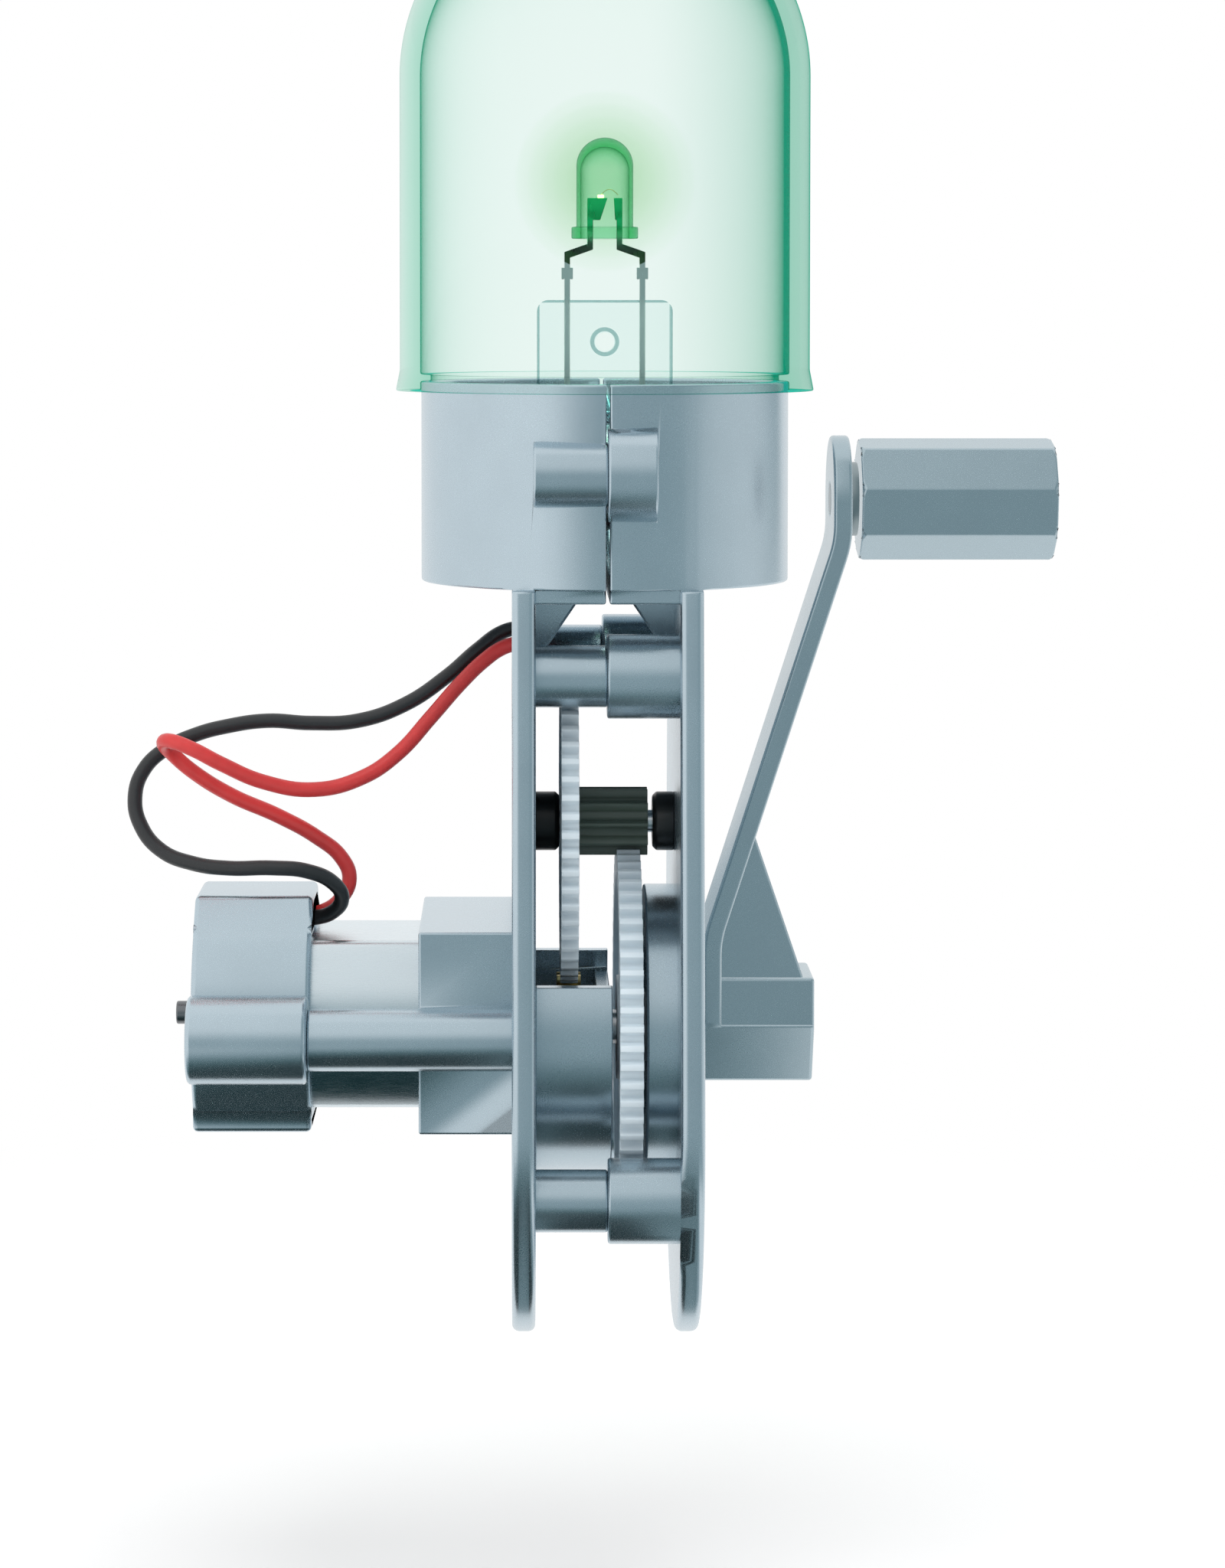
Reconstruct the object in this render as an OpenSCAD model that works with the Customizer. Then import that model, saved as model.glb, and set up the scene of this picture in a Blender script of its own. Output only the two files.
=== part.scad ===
// Hand-cranked dynamo flashlight without its grip: dome and LED above a split neck,
// two side plates with a two-stage gear train, a small motor as the generator, and a crank.
// Millimetres, +Z up, +X to the crank side, origin under the middle of the two side plates.

/* [Frame] */
// Clear width between the two side plates
frame_gap = 12; // [11.8:0.1:14]
// Thickness of each side plate
plate_t = 2; // [1.8:0.1:2.6]
// Radius of the round lower end of the plates
plate_r = 20; // [19:0.5:22]
// Half width of the plates where they meet the neck
plate_top_half = 15.4; // [14:0.2:16]
// Radius of the slim screw posts on the left plate
post_r = 2.6; // [2.4:0.1:2.8]
// Radius of the wide screw sockets on the right plate
socket_r = 3.55; // [3.4:0.05:3.8]
// Height of the lower screw posts
low_post_z = 14.2; // [13:0.2:15]
// Drop of the upper screw posts below the neck
high_post_drop = 7.4; // [6.6:0.1:8]
// Clearance between a screw socket and the gear beside it
post_clear = 0.3; // [0.3:0.05:0.6]

/* [Neck] */
// Height of the neck's underside above the large idler gear
neck_rise = 6.95; // [6.55:0.05:9]
// Height of the neck
neck_h = 17.2; // [16:0.2:20]
// Outer radius of the neck
neck_r = 15.85; // [15.6:0.05:16.2]
// Wall of the neck
neck_wall = 1.6; // [1.2:0.1:2]
// Thickness of the neck's floor
neck_floor = 1.5; // [1.2:0.1:2]
// Gap between the two halves of the neck
split_gap = 0.3; // [0.2:0.05:0.4]
// Radius of the slim posts on the neck's left half
neck_post_r = 2.75; // [2.5:0.05:3]
// Radius of the wide sockets on the neck's right half
neck_socket_r = 3.95; // [3.7:0.05:4.2]
// Length of the slim posts on the neck
neck_post_len = 6.2; // [5.6:0.1:6.6]
// Length of the wide sockets on the neck
neck_socket_len = 4.1; // [3.8:0.1:4.6]
// Distance of the neck's posts and sockets from the middle of the neck
neck_post_y = 15; // [14.6:0.1:15.4]
// Radius of the pegs that join the neck's two halves
neck_peg_r = 1.2; // [1:0.1:1.4]

/* [Dome] */
// Wall of the dome
dome_wall = 1.75; // [1.4:0.05:2.4]
// Clearance between the dome and the neck
dome_clear = 0.1; // [0.05:0.05:0.2]
// Height of the dome's straight side
dome_side = 27; // [24:0.5:32]
// How far the dome slips over the neck
dome_overlap = 0.8; // [0.6:0.1:1.2]
// How far the rim flares out
rim_flare = 0.35; // [0.2:0.05:0.6]
// Height of the flare
rim_h = 1.8; // [1.2:0.1:2.6]
// Height of the ring inside the dome that rests on the neck
dome_ring_h = 0.6; // [0.4:0.1:1]

/* [LED] */
// Radius of the LED's body
led_r = 2.45; // [2.3:0.05:2.5]
// Height of the LED from its flange to its tip
led_h = 8.7; // [8.4:0.1:9]
// Radius of the LED's flange
led_flange_r = 2.88; // [2.8:0.02:3]
// Height of the LED's flange above the neck's top
led_rise = 12.3; // [11:0.1:14]
// Thickness of the square leads
lead_t = 0.5; // [0.4:0.05:0.6]
// Distance between the two leads in the holder
lead_gap = 6.5; // [6:0.1:7]
// Width of the holder's clear plate
holder_w = 11.7; // [11:0.1:12.4]
// Thickness of the holder's clear plate
holder_t = 2.4; // [2:0.1:3]
// Height of the holder's plate above the neck's top
holder_rise = 7; // [6:0.1:8]

/* [Gears] */
// Gear module
gear_m = 0.5; // [0.5:0.01:0.52]
// Teeth of the drive gear
drive_teeth = 62; // [62:1:64]
// Teeth of the idler's pinion
pinion_teeth = 10; // [10:1:11]
// Teeth of the large idler gear
idler_teeth = 55; // [54:1:56]
// Teeth of the motor's pinion
motor_teeth = 12; // [12:1:13]
// Thickness of the drive gear
drive_w = 2; // [1.8:0.1:2]
// Thickness of the large idler gear
idler_w = 1.5; // [1.3:0.1:1.6]
// Height of the crank axis
crank_z = 26.2; // [25.8:0.1:26.8]
// Radius of the crank shaft
shaft_r = 1.5; // [1.4:0.05:1.6]
// Radius of the idler's fixed axle
axle_r = 1; // [0.9:0.05:1.1]
// Running clearance of a shaft or axle in its bore
run_clear = 0.04; // [0.02:0.01:0.08]

/* [Motor] */
// Radius of the motor can's round sides
can_r = 9.6; // [9.4:0.1:9.8]
// Half of the can's height between its flats
can_half = 7.2; // [7:0.1:7.4]
// Length of the can
can_len = 21; // [20:0.5:22]
// Radius of the motor shaft
rotor_r = 1; // [0.9:0.05:1]
// Distance of the tie tubes from the motor axis
tie_y = 14; // [13.8:0.1:14.4]
// Distance of the cap's open end from the left plate
cap_from_plate = 17.1; // [16.5:0.1:18]
// Length of the cap
cap_len = 10.1; // [9.8:0.1:11]
// Length of the cradle that holds the can's front end
cradle_len = 7.9; // [7:0.1:9]
// Radius of the cap's lobes
lobe_r = 3.72; // [3.6:0.02:4]

/* [Crank] */
// Distance between the crank axis and the knob axis
crank_throw = 46; // [42:0.5:48]
// Thickness of the crank arm
arm_t = 1.6; // [1.5:0.1:2]
// Half width of the arm at the knob
arm_top_half = 5.5; // [5:0.1:6]
// Clearance between the right plate and the arm
arm_clear = 0.4; // [0.3:0.1:1]
// How far the arm's upper end stands out from its lower end
arm_reach = 11.1; // [10.8:0.1:12]
// Length of the crank hub
hub_len = 9.6; // [9:0.1:11]
// Half width of the arm's foot and of the hub's lower band
hub_half = 4.75; // [4.5:0.05:5]
// Length of the knob
knob_len = 16.8; // [15:0.2:20]
// Radius to the corners of the eight-sided knob
knob_r = 5.35; // [5:0.05:6]

/* [Wires] */
// Diameter of each wire
wire_d = 1.3; // [1.1:0.1:1.4]

/* [Hidden] */

$fn = 72;
// Overrun of every cut
cut = 1;
// Clearance between parts that are fitted and don't move
fit = 0.02;

// Colours of the object
silver = [0.62, 0.68, 0.72];
pale_grey = [0.72, 0.77, 0.80];
steel = [0.70, 0.71, 0.73];
black_plastic = [0.05, 0.05, 0.05];
dark_green_grey = [0.16, 0.22, 0.20];
clear_green = [0.55, 0.85, 0.70, 0.4];
clear = [0.85, 0.92, 0.90, 0.4];
copper = [0.72, 0.40, 0.20];
brass = [0.78, 0.66, 0.36];

// Places across the frame
inner_x = frame_gap / 2;
outer_x = inner_x + plate_t;

// Gear geometry: stub teeth on the wheels keep them clear of the small pinions' roots
pressure = 20;
wheel_add = 0.6 * gear_m;
pinion_add = gear_m;
root_clear = 0.12 * gear_m;
tooth_thinning = 0.07 * gear_m;
drive_pitch_r = drive_teeth * gear_m / 2;
pinion_pitch_r = pinion_teeth * gear_m / 2;
idler_pitch_r = idler_teeth * gear_m / 2;
motor_pitch_r = motor_teeth * gear_m / 2;
drive_out_r = drive_pitch_r + wheel_add;
idler_out_r = idler_pitch_r + wheel_add;
pinion_out_r = pinion_pitch_r + pinion_add;
idler_z = crank_z + drive_pitch_r + pinion_pitch_r;
motor_z = idler_z - idler_pitch_r - motor_pitch_r;
neck_z = idler_z + idler_out_r + neck_rise;

// Places of the gears along X
side_clear = 0.35;
drum_h = 2.6;
drum_r = 12.4;
drum_wall = 1.5;
drive_x = inner_x - drum_h - side_clear - drive_w;
guard_clear = 0.55;
guard_x = drive_x - guard_clear;
spacer_len = 2.1;
spacer_r = 2.55;
spacer_clear = 0.06;
idler_x = -inner_x + spacer_len + spacer_clear;
pinion_x = idler_x + idler_w;
right_spacer_len = 1.85;
pinion_end_x = inner_x - right_spacer_len - 7 * spacer_clear;
spacer_chamfer = 0.35;

// Screws: shank, head, and the holes that take them
screw_r = 0.9;
screw_head_r = 1.7;
screw_head_h = 1.2;
screw_hole_r = 1.1;
head_hole_r = 2;
seat_t = 2;
pilot_depth = 5.6;
screw_tip = 0.5;

// Screw places
high_post_z = neck_z - high_post_drop;
high_post_y = sqrt(pow(idler_out_r + socket_r + post_clear, 2) - pow(high_post_z - idler_z, 2));
low_post_y = sqrt(pow(drive_out_r + socket_r + post_clear, 2) - pow(crank_z - low_post_z, 2));
post_places = [
    [high_post_y, high_post_z], [-high_post_y, high_post_z],
    [low_post_y, low_post_z], [-low_post_y, low_post_z]
];
neck_post_share = 0.564;
neck_post_z = neck_z + neck_post_share * neck_h;
neck_peg_len = 3;
neck_peg_gap = 0.1;

// Neck and dome
neck_top = neck_z + neck_h;
slab_t = 1.15;
slab_half_y = 14.6;
ledge_w = 1;
ledge_t = 1;
holder_disc_t = 1.6;
holder_sink = 0.8;
holder_disc_z = neck_top - (1 + holder_sink) * holder_disc_t;
dome_z = neck_top - dome_overlap;
dome_in_r = neck_r + dome_clear;
dome_r = dome_in_r + dome_wall;
dome_ring_r = neck_r - neck_wall / 2;
dome_ball_z = dome_z + dome_side;

// Gussets between the plates and the neck's slab
gusset_w = 4.2;
gusset_h = 6.2;
gusset_t = 1.2;

// Guard over the motor pinion
guard_wall = 1.3;
guard_end_t = 1.2;
guard_cut_rise = 5.2;
guard_cut_z = crank_z + guard_cut_rise;
guard_end_rise = 3.3;
guard_end_z = crank_z + guard_end_rise;
guard_peg_r = 0.5;
guard_peg_len = 1.2;
bush_wall = 0.8;
crank_bush_flange_r = 3.2;
crank_bush_flange_t = 0.8;
shaft_left_x = guard_x - guard_end_t;

// Motor
can_wall = 0.7;
can_front_x = -outer_x;
can_rear_x = can_front_x - can_len;
nose_r = 3;
nose_len = 1.6;
nose_hole_clear = 0.1;
bearing_r = 2.2;
bell_t = 2.6;
bell_plug = 1.5;
bell_boss_r = 3.2;
bell_rear_x = can_rear_x - bell_t;
magnet_len = 11;
magnet_in_r = 7;
magnet_gap = 3;
core_back = 5;
core_x = can_front_x - core_back;
core_len = 9;
core_r = 6.4;
core_tip_r = 5.2;
core_hub_r = 2.1;
core_neck = 2.2;
core_slot = 2.4;
winding_t = 1.2;
winding_half = core_neck / 2 + winding_t;
winding_out_r = sqrt(pow(core_tip_r, 2) - pow(winding_half, 2)) - fit;
commutator_r = 1.9;
commutator_len = 3;
commutator_x = can_rear_x + bell_plug + 0.4 * commutator_len;
commutator_slot = 0.3;
brush_gap = 0.1;
brush_t = 0.6;
brush_len = 2;
pinion_over = 0.6;
pinion_len = idler_w + pinion_over;
motor_pinion_x = idler_x - (pinion_len - idler_w) / 2;
shaft_end_x = motor_pinion_x + pinion_len;
stub_len = 2;

// Cap and cradle round the motor
cap_x = -outer_x - cap_from_plate;
cap_rear_x = cap_x - cap_len;
cap_end_t = 2;
bell_boss_h = bell_rear_x - cap_rear_x - cap_end_t;
shell_clear = 0.1;
shell_wall = 1.35;
shell_r = can_r + shell_clear + shell_wall;
shell_half = can_half + shell_clear + shell_wall;
cap_block_half = 4.8;
cap_block_top = 10.85;
cap_shoulder_y = 8.1;
cap_shoulder_z = sqrt(pow(shell_r - fit, 2) - pow(cap_shoulder_y, 2));
cap_base_half = 8.5;
cap_base_low = 8.9;
channel_half = 2.6;
channel_roof = 1.1;
lobe_web_half = 2.4;
shaft_hole_r = 1.6;
cap_seat_t = 5;
cradle_wall = 1.3;
cradle_r = can_r + shell_clear + cradle_wall;
cradle_half = can_half + shell_clear + cradle_wall;
tie_screw_grip = 8;

// Terminals on the end bell, where the wires end
wire_y = 1.2;
wire_rise = 8.4;
terminal_back = 0.5;
terminal_x = can_rear_x - terminal_back;
terminal_t = 0.6;
terminal_half = 0.6;
terminal_top = 9.2;
terminal_foot = 1.2;

// Crank
arm_x = outer_x + arm_clear;
arm_mid_low = arm_x + arm_t / 2;
arm_mid_top = arm_mid_low + arm_reach;
hub_x = arm_x;
knob_z = crank_z + crank_throw;
arm_bend_rise = 6.9;
arm_bend_drop = 2;
arm_bend_low_z = crank_z + arm_bend_rise;
arm_bend_top_z = knob_z - arm_bend_drop;
arm_bend_r = 9;
gusset_rise = 18.4;
gusset_top_z = crank_z + gusset_rise;
gusset_foot = 8.66;
hub_inset = 0.3;
gusset_inset = 0.35;
arm_gusset_half = hub_half - hub_inset - gusset_inset;
hub_top = 4.95;
hub_step_z = 0.9;
hub_low_z = 4.45;
hub_low_half = 1.6;
flat_depth = 0.5;
crank_screw_r = 0.7;
crank_screw_head_r = 1.6;
crank_screw_head_h = 1.1;
crank_screw_len = 4;
hub_end_t = 1.4;
hub_end_recess = 1.4;
collar_r = 3.2;
collar_len = 0.75;
collar_x = arm_mid_top + arm_t / 2;
knob_gap = 0.1;
knob_x = collar_x + collar_len + knob_gap;
knob_pin_r = 1.6;
knob_pin_root_r = 1.4;
knob_seat_t = 2;
knob_recess_r = 3;
knob_recess_len = 3;
knob_screw_head_r = 2.4;
knob_screw_head_h = 1;
knob_screw_r = 0.8;
knob_screw_len = 4;
knob_cap_t = 1;
knob_chamfer = 0.3;
knob_turn = 33.5;

// LED and its leads
led_z = neck_top + led_rise;
led_flange_t = 1;
lead_inner = 1.27;
lead_bend_drop = 0.7;
lead_bend_z = led_z - lead_bend_drop;
lead_slope = 0.7;
lead_end_depth = 6.4;
lead_end_z = neck_top - lead_end_depth;
stub_drop = 3;
stub_z = led_z - stub_drop;
stub_w = 1;
anvil_rise = 1.6;
anvil_z = led_z + anvil_rise;
anvil_h = 1.9;
anvil_w = 1.5;
holder_top = neck_top + holder_rise;
holder_corner = 1;
ring_r = 1.25;
ring_hole_r = 0.8;
ring_h = 0.3;
ring_drop = 3.6;

// Holes for the wires in the left plate and in the neck's floor
wire_hole_r = 1.05;
red_hole = [3, 59.6];
black_hole = [4.8, 60.7];

// Routes of the wires, from the lead's end in the neck to the terminal in the cap
black_route = [
    [3.25, 0, 76], [3.25, 0, 74.6], [3, 0.3, 73.1], [2, 1.3, 71.4], [0.2, 2.9, 70],
    [-1.5, 4.1, 68.7], [-2.6, 4.8, 67.2], [-2.9, 4.8, 65.5], [-3.1, 4.8, 63.6],
    [-3.9, 4.8, 61.9], [-5.6, 4.8, 60.9], [-7, 4.8, 60.7], [-8.8, 4.7, 60.3],
    [-11, 4, 58.8], [-13.6, 3.2, 56.6], [-17.4, 2.4, 54.1], [-21.5, 2.2, 52.7],
    [-25.6, 2.2, 52.5], [-29.4, 2.2, 52.7], [-33, 2.2, 52.2], [-35.6, 2.2, 51.5],
    [-38.2, 1.8, 50.3], [-40.1, 1.2, 48.5], [-40.8, 0.4, 46.2], [-40.2, -0.5, 43.8],
    [-38.4, -1.4, 41.8], [-35.6, -2.4, 40.8], [-32.4, -3.3, 40.5], [-28.6, -3.9, 40.6],
    [-25.6, -3.8, 40.3], [-23.4, -3.2, 39.2], [-22.7, -2.4, 37.8], [-23.5, -1.6, 36.5],
    [-25.2, -1.2, 35.9], [-27.2, -1.2, 35.85], [-29.5, -1.2, 35.85]
];
red_route = [
    [-3.25, 0, 76], [-3.25, 0, 74.6], [-3.3, 0.2, 73], [-3.6, 0.9, 71.2], [-4, 1.9, 69.6],
    [-4.2, 2.7, 68], [-4.3, 3, 66.4], [-4.3, 3, 64.6], [-4.3, 3, 62.6], [-4.8, 3, 60.9],
    [-5.9, 3, 59.9], [-7.3, 3, 59.5], [-8.9, 2.9, 59], [-10.5, 2.6, 57.9], [-12.4, 2.1, 56.1],
    [-15, 1.2, 53.2], [-18, 0, 50], [-21, -1.2, 48.1], [-25, -2.4, 47.2],
    [-29.4, -3.6, 48], [-33, -4.7, 49.7], [-35.4, -5.1, 51], [-37.2, -4.5, 51.6],
    [-38, -3, 51.3], [-37.4, -1.4, 50.2], [-35.6, -0.6, 48.5], [-32.4, 0.2, 46.4],
    [-28.3, 0.8, 44.5], [-25, 1.2, 42.6], [-22.9, 1.4, 40.8], [-22.2, 1.4, 39],
    [-22.9, 1.3, 37.3], [-24.6, 1.2, 36.1], [-26.5, 1.2, 35.85], [-29.5, 1.2, 35.85]
];
wire_sides = 8;

// Extrudes a shape drawn in Y and Z along X, from x over a length
module along_x(x, length) {
    translate([x, 0, 0]) rotate([90, 0, 90]) linear_extrude(height = length) children();
}

// Solid cylinder along X, from x over a length, on the axis at y and z
module rod(x, length, r, y = 0, z = 0) {
    translate([x, y, z]) rotate([0, 90, 0]) cylinder(r = r, h = length);
}

// Cone along X
module cone(x, length, r1, r2, y = 0, z = 0) {
    translate([x, y, z]) rotate([0, 90, 0]) cylinder(r1 = r1, r2 = r2, h = length);
}

// Involute of an angle in degrees, itself in degrees
function inv(a) = tan(a) * 180 / PI - a;

// Half of a tooth's angle at a radius
function tooth_half(teeth, r, pitch_r) =
    90 / teeth + inv(pressure) - inv(acos(min(1, pitch_r * cos(pressure) / r)))
    - tooth_thinning / pitch_r * 180 / PI;

function at(r, a) = [r * cos(a), r * sin(a)];

// Points of one tooth that points along angle a: root, flank, tip and back
function tooth(teeth, pitch_r, root_r, out_r, a) =
    let (base_r = max(root_r, pitch_r * cos(pressure)))
    let (radii = [for (k = [0:3]) base_r + (out_r - base_r) * k / 3])
    concat(
        [at(root_r, a - tooth_half(teeth, base_r, pitch_r))],
        [for (r = radii) at(r, a - tooth_half(teeth, r, pitch_r))],
        [for (k = [3:-1:0]) at(radii[k], a + tooth_half(teeth, radii[k], pitch_r))],
        [at(root_r, a + tooth_half(teeth, base_r, pitch_r))]
    );

// Outline of a spur gear; first is the angle of its first tooth
module gear_outline(teeth, root_r, out_r, first) {
    pitch_r = teeth * gear_m / 2;
    polygon([
        for (i = [0:teeth - 1])
            each tooth(teeth, pitch_r, root_r, out_r, first + i * 360 / teeth)
    ]);
}

// Half of the space, on the left or the right of the split
module half_space(side) {
    size = 4 * neck_r;
    shift = side > 0 ? split_gap / 2 : -size - split_gap / 2;
    translate([shift, -size / 2, 0]) cube([size, size, neck_top + size]);
}

// Outline of a side plate: a round foot and straight sides that lean in to the neck
module plate_outline() {
    rise = neck_z - plate_r;
    reach = sqrt(plate_top_half * plate_top_half + rise * rise);
    lean = atan2(rise, plate_top_half) - acos(plate_r / reach);
    translate([0, plate_r]) circle(r = plate_r, $fn = 144);
    polygon([
        [plate_r * cos(lean), plate_r + plate_r * sin(lean)],
        [plate_top_half, neck_z],
        [-plate_top_half, neck_z],
        [-plate_r * cos(lean), plate_r + plate_r * sin(lean)],
        [-plate_r * cos(lean), plate_r],
        [plate_r * cos(lean), plate_r]
    ]);
}

// One half of the neck with its floor, its ledge and the slab between the plates
module neck_half(side) {
    intersection() {
        union() {
            difference() {
                translate([0, 0, neck_z]) cylinder(r = neck_r, h = neck_h, $fn = 144);
                translate([0, 0, neck_z + neck_floor])
                    cylinder(r = neck_r - neck_wall - ledge_w, h = neck_h, $fn = 144);
                translate([0, 0, holder_disc_z])
                    cylinder(r = neck_r - neck_wall, h = neck_h, $fn = 144);
                translate([0, 0, neck_z + neck_floor])
                    cylinder(
                        r = neck_r - neck_wall,
                        h = holder_disc_z - ledge_t - neck_z - neck_floor, $fn = 144
                    );
            }
            translate([-inner_x, -slab_half_y, neck_z - slab_t])
                cube([2 * inner_x, 2 * slab_half_y, slab_t]);
        }
        half_space(side);
    }
}

// Triangular gusset between a plate and the slab
module gusset(side) {
    x = inner_x;
    top = neck_z - slab_t;
    translate([0, gusset_t / 2, 0]) rotate([90, 0, 0]) linear_extrude(height = gusset_t)
        polygon([
            [side * x, top],
            [side * (x - gusset_w), top],
            [side * x, top - gusset_h]
        ]);
}

// Motor outline: a circle with two flats
module motor_outline(r, half) {
    intersection() {
        circle(r = r, $fn = 96);
        translate([-r - cut, -half]) square([2 * (r + cut), 2 * half]);
    }
}

// Slim post with a pilot hole, whose open end faces +X at x = end
module pilot_hole(end, y, z) {
    rod(end - pilot_depth, pilot_depth + cut, screw_r + fit, y, z);
}

module frame_left() {
    color(silver) difference() {
        union() {
            along_x(-outer_x, plate_t) plate_outline();
            neck_half(-1);
            gusset(-1);
            for (p = post_places) rod(-outer_x, outer_x, post_r, p[0], p[1]);
            for (s = [-1, 1]) {
                rod(-neck_post_len, neck_post_len, neck_post_r, s * neck_post_y, neck_post_z);
                rod(-cut, neck_peg_len + cut, neck_peg_r, s * neck_post_y, neck_post_z);
            }
            translate([-outer_x - cradle_len, -cradle_r, motor_z - cradle_half])
                cube([cradle_len + fit, 2 * cradle_r, 2 * cradle_half]);
            for (s = [-1, 1]) {
                rod(cap_x, cap_from_plate, post_r, s * tie_y, motor_z);
                translate([-outer_x - cradle_len, s > 0 ? 0 : -tie_y, motor_z - lobe_web_half])
                    cube([cradle_len, tie_y, 2 * lobe_web_half]);
            }
        }
        along_x(-outer_x - cradle_len - cut, cradle_len + cut) translate([0, motor_z])
            motor_outline(can_r + shell_clear, can_half + shell_clear);
        rod(-outer_x - cut, plate_t + 2 * cut, nose_r + nose_hole_clear, 0, motor_z);
        rod(-inner_x - guard_peg_len, guard_peg_len + cut, axle_r + fit, 0, idler_z);
        for (p = post_places) pilot_hole(0, p[0], p[1]);
        for (s = [-1, 1]) {
            rod(cap_x - cut, tie_screw_grip + cut, screw_r + fit, s * tie_y, motor_z);
            rod(
                -inner_x - guard_peg_len - fit, guard_peg_len + cut, guard_peg_r + fit,
                s * guard_peg_y, guard_peg_z
            );
        }
        for (p = [black_hole, red_hole]) rod(-outer_x - cut, plate_t + 2 * cut, wire_hole_r, p[0], p[1]);
        floor_holes();
    }
}

// Holes in the neck's floor and slab for the two wires
module floor_holes() {
    for (p = [black_route[7], red_route[7]])
        translate([p[0], p[1], neck_z - slab_t - cut])
            cylinder(r = wire_hole_r, h = slab_t + neck_floor + 2 * cut);
}

module frame_right() {
    color(silver) difference() {
        union() {
            along_x(inner_x, plate_t) plate_outline();
            neck_half(1);
            gusset(1);
            for (p = post_places) rod(0, inner_x, socket_r, p[0], p[1]);
            for (s = [-1, 1]) rod(0, neck_socket_len, neck_socket_r, s * neck_post_y, neck_post_z);
            difference() {
                rod(inner_x - drum_h, drum_h + fit, drum_r, 0, crank_z);
                rod(inner_x - drum_h - cut, drum_h + cut, drum_r - drum_wall, 0, crank_z);
            }
        }
        for (p = post_places) {
            rod(-cut, outer_x + 2 * cut, screw_hole_r, p[0], p[1]);
            rod(seat_t, outer_x, head_hole_r, p[0], p[1]);
        }
        for (s = [-1, 1])
            rod(-cut, neck_peg_len + neck_peg_gap + cut, neck_peg_r + fit, s * neck_post_y, neck_post_z);
        rod(inner_x - cut, plate_t + 2 * cut, shaft_r + bush_wall + fit, 0, crank_z);
        rod(inner_x - cut, guard_peg_len + cut, axle_r + fit, 0, idler_z);
    }
}

// Self-tapping screw whose head seats at x and whose shank points to -X
module screw(x, length, y, z) {
    rod(x - length + screw_tip, length - screw_tip, screw_r, y, z);
    cone(x - length, screw_tip, screw_r / 3, screw_r, y, z);
    rod(x, screw_head_h, screw_head_r, y, z);
}

module frame_screws() {
    color(steel)
        for (p = post_places) screw(seat_t, seat_t + pilot_depth - screw_tip, p[0], p[1]);
}

// Middle of the guard's wall, where its two pegs stand
guard_peg_drop = 6;
guard_peg_z = crank_z - guard_peg_drop;
guard_peg_y = sqrt(pow(drum_r - guard_wall / 2, 2) - pow(crank_z - guard_peg_z, 2));

module gear_guard() {
    color(silver) difference() {
        union() {
            rod(-inner_x, inner_x + guard_x, drum_r, 0, crank_z);
            for (s = [-1, 1])
                rod(-inner_x - guard_peg_len, guard_peg_len + cut, guard_peg_r, s * guard_peg_y, guard_peg_z);
        }
        rod(-inner_x - cut, inner_x + guard_x - guard_end_t + cut, drum_r - guard_wall, 0, crank_z);
        rod(guard_x - guard_end_t - cut, guard_end_t + 2 * cut, shaft_r + bush_wall + fit, 0, crank_z);
        translate([-inner_x - cut, -drum_r - cut, guard_cut_z])
            cube([inner_x + guard_x + 2 * cut, 2 * (drum_r + cut), drum_r]);
        intersection() {
            rod(guard_x - guard_end_t - cut, guard_end_t + 2 * cut, drum_r - guard_wall, 0, crank_z);
            translate([guard_x - guard_end_t - cut, -drum_r, guard_end_z])
                cube([guard_end_t + 2 * cut, 2 * drum_r, drum_r]);
        }
    }
}

// Plain bush round a shaft
module bush(x, length, r, wall, y, z) {
    difference() {
        rod(x, length, r + wall, y, z);
        rod(x - cut, length + 2 * cut, r + run_clear, y, z);
    }
}

module guard_bush() {
    color(black_plastic) bush(guard_x - guard_end_t, guard_end_t, shaft_r, bush_wall, 0, crank_z);
}

module crank_bush() {
    color(black_plastic) difference() {
        union() {
            rod(inner_x, plate_t, shaft_r + bush_wall, 0, crank_z);
            rod(inner_x - crank_bush_flange_t, crank_bush_flange_t, crank_bush_flange_r, 0, crank_z);
        }
        rod(inner_x - crank_bush_flange_t - cut, plate_t + crank_bush_flange_t + 2 * cut,
            shaft_r + run_clear, 0, crank_z);
    }
}

// Steel shaft with a flat for the crank hub
module crank_shaft() {
    shaft_end = hub_x + hub_len - hub_end_recess - hub_end_t;
    color(steel) difference() {
        rod(shaft_left_x, shaft_end - shaft_left_x, shaft_r, 0, crank_z);
        translate([hub_x, -shaft_r - cut, crank_z + shaft_r - flat_depth])
            cube([hub_len, 2 * (shaft_r + cut), shaft_r]);
        rod(shaft_end - crank_screw_len, crank_screw_len + cut, crank_screw_r + fit, 0, crank_z);
    }
}

// Web, rim and hub of a wheel, as the half profile that is turned round the axis
module wheel_recess(x, side, hub, rim, depth) {
    difference() {
        rod(side > 0 ? x - depth : x - cut, depth + cut, rim, 0, 0);
        rod(x - depth - 2 * cut, 2 * (depth + 2 * cut), hub, 0, 0);
    }
}

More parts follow.
